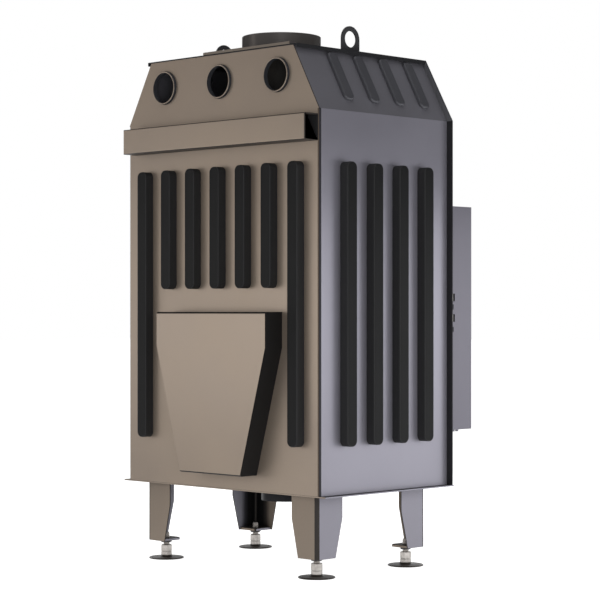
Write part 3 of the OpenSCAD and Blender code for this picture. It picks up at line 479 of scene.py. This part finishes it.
def seated(piece, node):
    """Puts a piece in the place of a CAD node: on its body, and the node is hidden."""
    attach(piece, nodes[node]["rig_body"])
    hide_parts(node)


def turned(name, outline, middle, axis="Z", steps=64):
    """A lathe shape round Z or Y from (radius, height) points in millimetres.

    The outline ends on the axis or back on its own start."""
    plane = 0.1
    bpy.ops.object.select_all(action="DESELECT")
    bpy.ops.mesh.primitive_plane_add(size=plane)
    piece = bpy.context.active_object
    mesh = work(piece, "VERT")
    for v in list(mesh.verts)[1:]:
        v.select_set(True)
    bmesh.update_edit_mesh(piece.data)
    bpy.ops.mesh.delete(type="VERT")
    bpy.ops.mesh.select_all(action="SELECT")
    first = Vector((outline[0][0] * MM, 0, outline[0][1] * MM))
    bpy.ops.transform.translate(value=first - Vector((-plane / 2, -plane / 2, 0)))
    for (wide, high), (next_wide, next_high) in zip(outline, outline[1:]):
        step = ((next_wide - wide) * MM, 0, (next_high - high) * MM)
        bpy.ops.mesh.extrude_vertices_move(TRANSFORM_OT_translate={"value": step})
    bpy.ops.mesh.select_all(action="SELECT")
    bpy.ops.mesh.spin(steps=steps, angle=2 * math.pi, center=(0, 0, 0), axis=(0, 0, 1))
    bpy.ops.mesh.select_all(action="SELECT")
    bpy.ops.mesh.remove_doubles(threshold=2e-6)
    bpy.ops.mesh.normals_make_consistent(inside=False)
    leave()
    if axis == "Y":
        piece.rotation_euler = (-math.pi / 2, 0, 0)
    piece.location = middle
    bpy.ops.object.transform_apply(location=True, rotation=True)
    piece.name = piece.data.name = name
    return piece


def joined(name, *pieces):
    """Several solids as one piece."""
    only(*pieces)
    bpy.ops.object.join()
    piece = bpy.context.active_object
    piece.name = piece.data.name = name
    return piece


def moved_copy(piece, shift):
    only(piece)
    bpy.ops.object.duplicate()
    again = bpy.context.active_object
    again.location = shift
    bpy.ops.object.transform_apply(location=True)
    return again


def weld(name, start, length, axis, size=2.2, ripple=2.4):
    """A weld bead of overlapping ripples along one axis, from its start in metres."""
    n = max(3, round(length / ripple))
    step = length / n
    outline = [(0, 0), (size * 0.7, 0.1)]
    for i in range(n):
        outline += [(size, (i + 0.45) * step), (size * 0.86, (i + 0.95) * step)]
    outline += [(size * 0.6, length), (0, length + 0.3)]
    bead = turned(name, outline, start, axis, 12)
    smoothed(bead, 50)
    bead.data.materials.append(top_black)
    return bead


# Casing

def faces_back(normal, middle):
    return normal.y > 0.75


def faces_aside(normal, middle):
    return abs(normal.x) > 0.75


def rim_back(normal, middle):
    return normal.y > 0.98


def rim_aside(normal, middle):
    return abs(normal.x) > 0.98


def sheet_piece(node, name, width, *coats):
    """A CAD piece with its edges broken and its faces finished by the way they look."""
    piece = copied(node, name)
    eased(piece, width)
    smoothed(piece)
    painted(piece, *coats)
    seated(piece, node)


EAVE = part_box("hood_rear_panel")[0].z
LID_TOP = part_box("top_plate")[1].z
SURROUND_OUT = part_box("door_surround")[1].x
CHANNEL_LOW, CHANNEL_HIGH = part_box("rear_beam")
CHANNEL_WALL, CHANNEL_END = 2.2 * MM, 0.2 * MM  # how far inside the channel's outline its painted shade starts
NUTS_HIGH = 48 * MM  # the feet's nuts are below this, the legs' bolts above


def behind_channel(normal, middle):
    return (normal.y > 0.93 and CHANNEL_LOW.x < middle.x < CHANNEL_HIGH.x
            and CHANNEL_LOW.z + CHANNEL_WALL < middle.z < CHANNEL_HIGH.z - CHANNEL_WALL)


def surround_outside(normal, middle):
    return faces_aside(normal, middle) and abs(middle.x) > SURROUND_OUT - 1 * MM


def off_eave(p):
    return abs(p.z - EAVE) > TOUCH


def rear_sheet():
    """Rear panel: painted shade behind the open channel and in its bends, flush with the hood at the eave."""
    piece = copied("rear_panel", "rear_sheet")
    rounded(piece, 0.4 * MM, off_eave, 2)
    for across, margin in (((1, 0, 0), CHANNEL_END), ((0, 0, 1), CHANNEL_WALL)):
        for edge, inward in ((CHANNEL_LOW, 1), (CHANNEL_HIGH, -1)):
            parted(piece, edge + Vector(across) * inward * margin, across)
    smoothed(piece)
    painted(piece, (channel_shade_black, behind_channel), (rear_warm_lit_coat, lambda n, c: n.y > 0.999),
            (bend_shade_warm, lambda n, c: n.y > 0.6), (bend_shade_cool, anywhere))
    seated(piece, "rear_panel")


def hood_back():
    """Rear sheet of the hood, with a darker brown strip of painted shade where it stands up past the lid, and
    painted shade on its edges.
    """
    piece = copied("hood_rear_panel", "hood_rear_sheet")
    rounded(piece, 0.4 * MM, off_eave, 2)
    smoothed(piece)
    painted(piece, (strip_shade_brown, lambda n, c: faces_back(n, c) and c.z > LID_TOP - 1 * MM),
            (rear_warm_lit_coat, faces_back), (bend_shade_black, anywhere))
    seated(piece, "hood_rear_panel")


def front_sheet():
    """Front plate: its shoulders carry the hood's painted shade, the rest is black."""
    piece = copied("front_plate", "front_sheet")
    eased(piece, 0.6 * MM)
    parted(piece, (0, 0, EAVE), (0, 0, 1))
    smoothed(piece)
    painted(piece, (shoulder_shade_coat, lambda n, c: n.y > 0.9 and c.z > EAVE), (top_black, anywhere))
    seated(piece, "front_plate")


rear_sheet()
hood_back()
front_sheet()

# CAD node, piece, width of its broken edges, and its finishes with the faces that take them
for node, name, width, coats in (
    # Rims and sheets that face back or aside take the warm- or cool-lit copy of the coat
    ("base_plate", "base_sheet", 0.9 * MM,
     ((rear_warm_lit_coat, rim_back), (side_cool_lit_coat, rim_aside), (top_black, anywhere))),
    # The side sheets' edges take the cool painted shade of the bends
    ("side_panel_left", "left_side_sheet", 0.4 * MM, ((side_cool_lit_coat, faces_aside), (bend_shade_cool, anywhere))),
    ("side_panel_right", "right_side_sheet", 0.4 * MM, ((side_cool_lit_coat, faces_aside), (bend_shade_cool, anywhere))),
    ("top_plate", "top_sheet", 0.6 * MM, ((top_black, anywhere),)),
    ("leg_fasteners", "leg_bolts", 0.7 * MM, ((nut_black, lambda n, c: c.z < NUTS_HIGH), (zinc, anywhere))),
    ("door_surround", "door_casing", 0.6 * MM,
     ((surround_cool_lit_coat, surround_outside), (top_black, anywhere))),
):
    sheet_piece(node, name, width, *coats)


PLACES = ("rear_left", "rear_right", "front_left", "front_right")
LEG_SHEET = 4 * MM  # a leg's inner faces are nearer to its outer ones than this
FOOT_PLATE_THICK = 7 * MM
FOOT_PLATE_REACH = 60 * MM  # from the leg's fold to the foot plate's far sides


def leg(place):
    """Folded leg: warm- or cool-lit copies of the coat outside, painted shade deepening towards the fold
    inside, and painted shade along its cut edges and on its foot plate.
    """
    low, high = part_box("leg_" + place)
    fold_x = low.x if low.x < 0 else high.x
    fold_y = high.y if "rear" in place else low.y
    rear = 1 if "rear" in place else -1
    side = -1 if fold_x < 0 else 1
    plate_top = low.z + FOOT_PLATE_THICK

    def outside_y(n, c):
        return n.y * rear > 0.999 and abs(c.y - fold_y) < 0.5 * MM

    def outside_x(n, c):
        return n.x * side > 0.999 and abs(c.x - fold_x) < 0.5 * MM

    def inside_y(n, c):
        return n.y * rear < -0.97 and abs(c.y - fold_y) < LEG_SHEET

    def inside_x(n, c):
        return n.x * side < -0.97 and abs(c.x - fold_x) < LEG_SHEET

    def on_plate_rim(p):
        from_fold = max(abs(p.x - fold_x), abs(p.y - fold_y))
        return abs(p.z - plate_top) < TOUCH and from_fold > FOOT_PLATE_REACH - 10 * MM

    def at_reach(distance):
        return FOOT_PLATE_REACH - 5 * MM < abs(distance) < FOOT_PLATE_REACH + 1 * MM

    def plate_side_y(n, c):
        return abs(n.y) > 0.97 and c.z < plate_top and at_reach(c.y - fold_y)

    def plate_side_x(n, c):
        return abs(n.x) > 0.97 and c.z < plate_top and at_reach(c.x - fold_x)

    piece = copied("leg_" + place, place + "_leg")
    rounded(piece, 2.5 * MM, on_plate_rim)
    eased(piece, 0.5 * MM)
    smoothed(piece)
    # Outside: warm- or cool-lit copies of the coat; inside: painted shade towards the fold; cut edges and
    # foot plate: painted shade
    back = leg_rear_warm_lit_coat if rear > 0 else leg_side_cool_lit_coat
    painted(piece, (back, outside_y), (leg_side_cool_lit_coat, outside_x),
            (leg_inside_back_warm_lit, inside_y), (leg_inside_aside_cool_lit, inside_x),
            (leg_rear_warm_lit_coat, plate_side_y), (leg_side_cool_lit_coat, plate_side_x), (bend_shade_black, anywhere))
    seated(piece, "leg_" + place)


for place in PLACES:
    leg(place)


def beam():
    """Folded channel: its two long outer bends are round."""
    low, high = CHANNEL_LOW, CHANNEL_HIGH

    def on_long_bend(p):
        return p.y > high.y - TOUCH and min(abs(p.z - low.z), abs(p.z - high.z)) < TOUCH

    piece = copied("rear_beam", "rear_channel")
    rounded(piece, 3 * MM, on_long_bend)
    eased(piece, 0.4 * MM)
    smoothed(piece)
    # The back face takes the warm-lit coat; bends, ends and inside take painted shade
    painted(piece, (rear_warm_lit_coat, lambda n, c: n.y > 0.9 and c.y > high.y - 1 * MM), (bend_shade_black, anywhere))
    seated(piece, "rear_beam")


def rear_air_box():
    """Pressed box on the lower back, with soft bends round its face, the widest above and below."""
    low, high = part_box("air_plenum")
    ends = 7 * MM
    piece = copied("air_plenum", "rear_air_box")
    rounded(piece, 6 * MM, lambda p: p.y > high.y - TOUCH and not low.z + TOUCH < p.z < high.z - TOUCH)
    rounded(piece, 2 * MM, lambda p: p.y > high.y - TOUCH and low.z + ends < p.z < high.z - ends)
    eased(piece, 0.4 * MM)
    smoothed(piece)
    # The face takes the warm-lit coat; walls and bends take painted shade, which the wide bends above and
    # below show as dark lines
    painted(piece, (rear_warm_lit_coat, lambda n, c: n.y > 0.97 and c.y > high.y - 1 * MM), (plenum_shade_black, anywhere))
    seated(piece, "air_plenum")


def ribs(node, name, axis, sign):
    """Pressed ribs: inside and outside, the edge all round is a soft bend."""
    low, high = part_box(node)
    wall = 2 * MM
    outer = high[axis] if sign > 0 else low[axis]
    piece = copied(node, name)
    rounded(piece, 1.4 * MM, lambda p: abs(p[axis] - outer + sign * wall) < TOUCH, 3)
    rounded(piece, 3.2 * MM, lambda p: abs(p[axis] - outer) < TOUCH, 5)
    eased(piece, 0.4 * MM)
    smoothed(piece, 40)
    # Faces take the darker black and walls the lighter one, as painted shade and painted light
    painted(piece, (rib_black, lambda n, c: n[axis] * sign > 0.9), (rib_wall_lit_black, anywhere))
    seated(piece, node)


HOOD_LEAN, HOOD_RISE = 85 * MM, 156 * MM  # how far the hood's sides go inward and up
RIB_OUT = 9 * MM  # how far their ribs stand out
NEAR_SHEET = 0.3 * MM  # points nearer than this to a leaning plane lie on it


def hood_side(node, name, side):
    """Leaning hood sheet with its pressed ribs, which run softly into the sheet."""
    low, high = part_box(node)
    slope = math.atan2(HOOD_LEAN, HOOD_RISE)
    out = Vector((side * math.cos(slope), 0, math.sin(slope)))
    foot = Vector((low.x if side < 0 else high.x, 0, low.z))

    def level(p):
        return (p - foot).dot(out)

    def inside_sheet(p):
        return low.y + 10 * MM < p.y < high.y - 10 * MM and low.z + 8 * MM < p.z < high.z - 4 * MM

    piece = copied(node, name)
    rounded(piece, 4.8 * MM, lambda p: abs(level(p) - RIB_OUT) < NEAR_SHEET, 6)
    rounded(piece, 4 * MM, lambda p: abs(level(p)) < NEAR_SHEET and inside_sheet(p), 6)
    eased(piece, 0.4 * MM)
    smoothed(piece, 40)
    # The ribs take a darker painted-shade copy than the sheet, which is painted shade itself
    painted(piece, (hood_rib_shade_coat, lambda n, c: level(c) > 0.6 * MM), (hood_shade_coat, anywhere))
    seated(piece, node)


beam()
rear_air_box()
ribs("rear_ribs_long", "long_rear_ribs", 1, 1)
ribs("rear_ribs_short", "short_rear_ribs", 1, 1)
ribs("side_ribs_left", "left_ribs", 0, -1)
ribs("side_ribs_right", "right_ribs", 0, 1)
hood_side("hood_side_left", "left_hood_sheet", -1)
hood_side("hood_side_right", "right_hood_sheet", 1)


def spigots():
    """Three short pipes for hot air: a pale rolled rim in the warm-lit coat, and walls and bore painted dark
    as shade.
    """
    low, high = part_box("hot_air_spigots")
    bore, wall = 38, 4
    depth = (high.y - low.y) / MM
    outline = [(bore, -depth), (bore + wall, -depth), (bore + wall, -1.6), (bore + wall - 0.5, -0.5),
               (bore + wall - 1.5, 0), (bore + 1.3, 0), (bore + 0.4, -0.4), (bore, -1.4), (bore, -depth)]
    middle = Vector((0, high.y, (low.z + high.z) / 2))
    first = turned("spigot", outline, middle, "Y", 72)
    reach = high.x - (bore + wall) * MM
    three = joined("air_spigots", first, moved_copy(first, (-reach, 0, 0)), moved_copy(first, (reach, 0, 0)))
    smoothed(three, 40)
    painted(three, (rear_warm_lit_coat, lambda n, c: n.y > 0.6), (bore_shade_black, anywhere))
    seated(three, "hot_air_spigots")


def flue():
    """Collar for the flue pipe, rolled at its lip and welded round its foot."""
    low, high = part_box("flue_collar")
    r, h = (high.x - low.x) / 2 / MM, (high.z - low.z) / MM
    outline = [(r - 3, 0), (r + 3, 0), (r + 1.4, 0.8), (r + 0.4, 2), (r, 3.6), (r, h - 1.6),
               (r - 0.4, h - 0.5), (r - 1.5, h), (r - 2.6, h - 0.5), (r - 3, h - 1.6), (r - 3, 0)]
    collar = turned("flue_ring", outline, ((low.x + high.x) / 2, (low.y + high.y) / 2, low.z), "Z", 96)
    smoothed(collar, 50)
    painted(collar, (collar_steel, anywhere))
    seated(collar, "flue_collar")


def inlet():
    """Collar for outside air under the base, with a bead that holds a hose."""
    low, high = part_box("air_inlet_collar")
    r, h = (high.x - low.x) / 2 / MM, (high.z - low.z) / MM
    outline = [(r - 2, 0), (r - 0.6, 0), (r - 0.2, 0.6), (r - 0.2, 6), (r, 7), (r, 9),
               (r - 0.2, 10), (r - 0.2, h), (r - 2, h), (r - 2, 0)]
    collar = turned("air_inlet_ring", outline, ((low.x + high.x) / 2, (low.y + high.y) / 2, low.z), "Z", 72)
    smoothed(collar, 40)
    painted(collar, (top_black, anywhere))
    seated(collar, "air_inlet_collar")


def lifting_eye(node, name):
    """Flame-cut eye with softened edges and a weld bead along each side of its foot."""
    low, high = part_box(node)
    eye = copied(node, name)
    eased(eye, 1.3 * MM, 3)
    smoothed(eye)
    painted(eye, (eye_black, anywhere))
    seated(eye, node)
    for side, x in (("near", low.x), ("far", high.x)):
        start = (x, low.y + 4 * MM, low.z + 0.4 * MM)
        bead = weld(name + "_weld_" + side, start, (high.y - low.y) / MM - 8, "Y")
        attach(bead, "casing")


spigots()
flue()
inlet()
lifting_eye("lifting_eye_left", "left_lifting_eye")
lifting_eye("lifting_eye_right", "right_lifting_eye")


# Levelling feet

def foot(place):
    """Threaded stud with its ringed sleeve, and the round pad, of one levelling foot."""
    low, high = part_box("stud_" + place)
    x, y = (low.x + high.x) / 2, (low.y + high.y) / 2
    crest, root, pitch = 8, 7.1, 2
    sleeve, ring, neck = 14, 17 - low.z / MM, 35 - low.z / MM
    tall = (high.z - low.z) / MM
    outline = [(0, 0), (crest, 0), (crest, 2), (sleeve - 1, 2), (sleeve, 3), (sleeve, ring - 0.8),
               (sleeve - 0.5, ring), (sleeve - 0.5, ring + 1), (sleeve, ring + 1.8), (sleeve, neck - 1),
               (sleeve - 1, neck), (root, neck)]
    turn = neck + 0.4
    while turn + pitch < tall - 1:
        outline += [(crest, turn + 0.35 * pitch), (crest, turn + 0.6 * pitch), (root, turn + 0.95 * pitch)]
        turn += pitch
    outline += [(root, tall - 1), (root - 1, tall), (0, tall)]
    stud = turned(place + "_stud", outline, (x, y, low.z), "Z", 36)
    smoothed(stud, 30)
    painted(stud, (zinc, anywhere))
    seated(stud, "stud_" + place)
    low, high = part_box("pad_" + place)
    r = (high.x - low.x) / 2 / MM
    outline = [(0, 0), (r - 1, 0), (r - 0.2, 0.5), (r, 1.4), (r - 0.3, 2.4), (r - 1.4, 3.1), (r - 8, 3.7),
               (18, 4.4), (15.8, 5.4), (15, 6.6), (14.8, 7.4), (14, 8), (8.4, 8), (8.1, 7.6), (8.1, 6),
               (0, 6)]
    pad = turned(place + "_pad", outline, (x, y, 0), "Z", 72)
    smoothed(pad, 50)
    painted(pad, (pad_black, anywhere))
    seated(pad, "pad_" + place)


for place in PLACES:
    foot(place)


# Door

def door_leaf():
    """Cast leaf: round outer edge, wide bend round the glass."""
    low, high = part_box("door_frame")
    middle_z, glass_edge = (low.z + high.z) / 2, 240 * MM
    piece = copied("door_frame", "door_leaf")

    def on_front(p):
        return abs(p.y - low.y) < TOUCH

    def outer(p):
        return min(p.x - low.x, high.x - p.x, p.z - low.z, high.z - p.z) < 1 * MM

    def round_glass(p):
        return not outer(p) and max(abs(p.x), abs(p.z - middle_z)) > glass_edge

    rounded(piece, 3 * MM, lambda p: on_front(p) and outer(p), 5)
    rounded(piece, 4.5 * MM, lambda p: on_front(p) and round_glass(p))
    eased(piece, 0.5 * MM)
    smoothed(piece)
    painted(piece, (iron_black, anywhere))
    seated(piece, "door_frame")


# CAD node, piece, width of its broken edges, and its one finish
for node, name, width, finish in (
    ("door_glass", "glass_pane", 0.6 * MM, glass),
    ("glass_clips", "pane_clips", 0.4 * MM, zinc),
    ("door_bushes", "hinge_bushes", 0.4 * MM, bush_metal),
    ("hinge_pins", "hinge_bolts", 1.2 * MM, zinc),
    ("keeper_tongue", "bracket_lip", 0.4 * MM, zinc),
    ("latch_cam", "latch_plate", 0.5 * MM, zinc),
    ("cam_spacer", "latch_sleeve", 0.4 * MM, zinc),
    ("firebox_mouth", "throat", 0.6 * MM, inner),
    ("firebox_rails", "shell_rails", 0.5 * MM, inner),
    ("back_lining", "rear_board", 2 * MM, board),
    ("side_lining_left", "left_board", 2 * MM, board),
    ("side_lining_right", "right_board", 2 * MM, board),
    ("hearth_slab", "hearth_board", 1.5 * MM, board),
    ("baffle_board", "roof_board", 2 * MM, board),
    ("baffle_plate", "upper_baffle", 0.6 * MM, inner),
    ("grate", "fire_grate", 1.5 * MM, iron),
    ("log_retainer", "log_guard", 1.2 * MM, iron),
    ("ash_pan", "ash_tray", 0.4 * MM, inner),
    ("air_box", "air_chamber", 0.4 * MM, inner),
    ("air_slider", "air_gate", 0.4 * MM, zinc),
):
    sheet_piece(node, name, width, (finish, anywhere))

door_leaf()


def latch_bracket():
    """Keeper behind the casing's windows: black, with bright tongues that fill part of the big windows."""
    low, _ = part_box("latch_keeper")
    tongue = 1.9 * MM  # how deep the tongues reach from the outer side
    piece = copied("latch_keeper", "latch_bracket")
    eased(piece, 0.3 * MM)
    smoothed(piece)
    painted(piece, (zinc, lambda n, c: c.x < low.x + tongue), (top_black, anywhere))
    seated(piece, "latch_keeper")


latch_bracket()


def handle():
    """Lever with softened edges and a moulded grip."""
    low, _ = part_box("handle_lever")
    arm = 42 * MM  # length of the bare arm before the grip
    piece = copied("handle_lever", "door_lever")
    eased(piece, 1.6 * MM, 3, math.radians(50))
    smoothed(piece, 40)
    painted(piece, (knob_black, lambda n, c: c.x > low.x + arm), (iron_black, anywhere))
    seated(piece, "handle_lever")


def seal():
    """Seal rope of the door, knitted by its finish."""
    piece = copied("door_seal", "seal_rope")
    smoothed(piece, 60)
    painted(piece, (braid, anywhere))
    seated(piece, "door_seal")


def air_handle():
    """Waisted knob of the air control."""
    low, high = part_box("air_knob")
    x, z = (low.x + high.x) / 2, (low.z + high.z) / 2
    outline = [(0, 0), (6.5, 0), (8, 0.6), (8.4, 2), (7.4, 7), (7.6, 11), (9.6, 15.4), (10.8, 18.4),
               (11, 20.4), (10.4, 22.4), (8.6, 23.6), (5, 24), (0, 24)]
    knob = turned("air_pull", [(r, -h) for r, h in outline], (x, high.y, z), "Y", 48)
    smoothed(knob, 60)
    painted(knob, (knob_black, anywhere))
    seated(knob, "air_knob")


handle()
seal()
air_handle()

# These CAD nodes are shown as they are, with a finish
for node, finish in (("flue_neck", inner), ("firebox_shell", inner), ("air_rod", zinc)):
    nodes[node].data.materials.clear()
    nodes[node].data.materials.append(finish)


# Studio

WHITE = (1, 1, 1, 1)
RING_LOW, RING_TALL, RING_RADIUS = 1.32, 2.4, 2.6  # high ring round the studio: lower edge, height and radius
SIDE_CARD_LOW = 0.92  # lower edge of the card that the left side mirrors
CAMERA_CARD = 1.6  # width of the camera's card
CAMERA_AT, CAMERA_AIM = (-3.5114, 3.5508, 0.6372), (0.7018, -0.7124, 0)
CAMERA_LENS, CAMERA_SENSOR, CAMERA_SHIFT = 117.03, 36, 0.01833


def lamp(name, place, aim, size, watts, tint=(1, 1, 1), mirrored=True):
    """A flat soft lamp that faces the point aim."""
    bpy.ops.object.light_add(type="AREA", location=place)
    light = bpy.context.active_object
    light.name = light.data.name = name
    light.data.shape = "RECTANGLE"
    light.data.size, light.data.size_y = size
    light.data.energy = watts
    light.data.color = tint
    light.rotation_euler = (Vector(aim) - Vector(place)).to_track_quat("-Z", "Y").to_euler()
    light.visible_camera = False
    light.visible_glossy = mirrored


def seen_straight(tree):
    """1 for the rays that see a surface from the camera, in metal or through glass."""
    path = tree.nodes.new("ShaderNodeLightPath")
    seen = path.outputs["Is Camera Ray"]
    for ray in ("Is Glossy Ray", "Is Transmission Ray"):
        both = tree.nodes.new("ShaderNodeMath")
        both.operation = "MAXIMUM"
        tree.links.new(seen, both.inputs[0])
        tree.links.new(path.outputs[ray], both.inputs[1])
        seen = both.outputs[0]
    return seen


def white_world(ambient):
    """White to the eye, and an even soft light on everything else."""
    world = bpy.data.worlds.new("studio")
    bpy.context.scene.world = world
    world.use_nodes = True
    tree = world.node_tree
    tree.nodes.clear()
    soft, white = tree.nodes.new("ShaderNodeBackground"), tree.nodes.new("ShaderNodeBackground")
    soft.inputs["Color"].default_value = white.inputs["Color"].default_value = WHITE
    soft.inputs["Strength"].default_value = ambient
    mix, out = tree.nodes.new("ShaderNodeMixShader"), tree.nodes.new("ShaderNodeOutputWorld")
    tree.links.new(seen_straight(tree), mix.inputs[0])
    tree.links.new(soft.outputs[0], mix.inputs[1])
    tree.links.new(white.outputs[0], mix.inputs[2])
    tree.links.new(mix.outputs[0], out.inputs[0])


def pale_floor(glow):
    """Plain pale floor that looks white and keeps a faint shadow."""
    bpy.ops.object.select_all(action="DESELECT")
    bpy.ops.mesh.primitive_plane_add(size=60)
    floor = bpy.context.active_object
    floor.name = "studio_floor"
    pale = bpy.data.materials.new("pale_floor")
    pale.use_nodes = True
    tree = pale.node_tree
    shader = tree.nodes["Principled BSDF"]
    shader.inputs["Base Color"].default_value = (0.8, 0.8, 0.8, 1)
    shader.inputs["Roughness"].default_value = 0.9
    shader.inputs["Specular IOR Level"].default_value = 0.0
    shader.inputs["Emission Strength"].default_value = glow
    tree.links.new(seen_straight(tree), shader.inputs["Emission Color"])
    floor.data.materials.append(pale)


def black_card(name):
    """Makes the new primitive a matte black card that only mirror-like surfaces see."""
    card = bpy.context.active_object
    card.name = card.data.name = name
    black = bpy.data.materials.new(name)
    black.use_nodes = True
    shader = black.node_tree.nodes["Principled BSDF"]
    shader.inputs["Base Color"].default_value = (0.004, 0.004, 0.004, 1)
    shader.inputs["Specular IOR Level"].default_value = 0.0
    shader.inputs["Roughness"].default_value = 1.0
    card.data.materials.append(black)
    card.visible_camera = card.visible_diffuse = card.visible_shadow = card.visible_transmission = False


def upright_card(name, place, turn, wide, tall):
    """A black card on edge, turned about the vertical by so many degrees."""
    bpy.ops.mesh.primitive_plane_add(size=1, location=place, rotation=(math.pi / 2, 0, math.radians(turn)))
    bpy.context.active_object.scale = (wide, tall, 1)
    black_card(name)


def flags():
    """Cards that darken what the coated sheets mirror: a high roofed ring, and three near cards."""
    bpy.ops.object.select_all(action="DESELECT")
    bpy.ops.mesh.primitive_cylinder_add(vertices=48, radius=RING_RADIUS, depth=RING_TALL,
                                        end_fill_type="NOTHING", location=(0, 0, RING_LOW + RING_TALL / 2))
    black_card("high_ring")
    bpy.ops.mesh.primitive_circle_add(vertices=48, radius=RING_RADIUS, fill_type="NGON",
                                      location=(0, 0, RING_LOW + RING_TALL))
    black_card("high_roof")
    upright_card("camera_card", (-2.1, 2.14, RING_LOW / 2), 44.6, CAMERA_CARD, RING_LOW)
    bpy.ops.mesh.primitive_plane_add(size=1.9, location=(1.5, 1.75, 0.002))
    black_card("floor_card")
    upright_card("side_card", (-1.0, -0.7, SIDE_CARD_LOW + 0.5), -45, 1.8, 1)


def camera():
    """The photo's camera, as fitted: level, and shifted a little."""
    bpy.ops.object.camera_add(location=CAMERA_AT)
    view = bpy.context.active_object
    view.rotation_euler = Vector(CAMERA_AIM).to_track_quat("-Z", "Y").to_euler()
    view.data.lens, view.data.sensor_width = CAMERA_LENS, CAMERA_SENSOR
    view.data.shift_y = CAMERA_SHIFT
    view.data.clip_start, view.data.clip_end = 0.1, 200
    bpy.context.scene.camera = view


bpy.context.scene.view_settings.view_transform = "Standard"
white_world(0.4)
pale_floor(0.9)
flags()
# Name, place, aim, size, watts, tint, and whether metal mirrors it
lamp("rear_lamp", (0.8, 1.75, 0.6), (0.0, 0.27, 0.6), (1.5, 0.7), 4.3, (1.0, 0.975, 0.95))
lamp("side_lamp", (-1.3, -0.35, 0.45), (-0.34, -0.1, 0.45), (0.8, 0.6), 3.8, (0.975, 0.985, 1.0), False)
lamp("edge_lamp", (-1.7, -1.6, 0.65), (-0.34, -0.1, 0.65), (1.1, 0.8), 5.5, (0.975, 0.985, 1.0))
lamp("collar_lamp", (1.6, 1.7, 1.62), (0.0, 0.05, 1.3), (0.35, 0.5), 1.2, (1.0, 0.93, 0.86))
lamp("camera_lamp", (-2.6, 2.6, 0.8), (0, 0, 0.6), (1.2, 1.2), 26)
lamp("right_lamp", (2.2, -0.3, 0.7), (0.34, 0, 0.6), (1.5, 1.2), 10)
lamp("front_lamp", (0.5, -2.6, 0.8), (0, -0.3, 0.6), (1.8, 1.2), 16)
lamp("high_lamp", (-0.4, 0.3, 3.0), (0, 0, 1.2), (1.6, 1.6), 10)
camera()
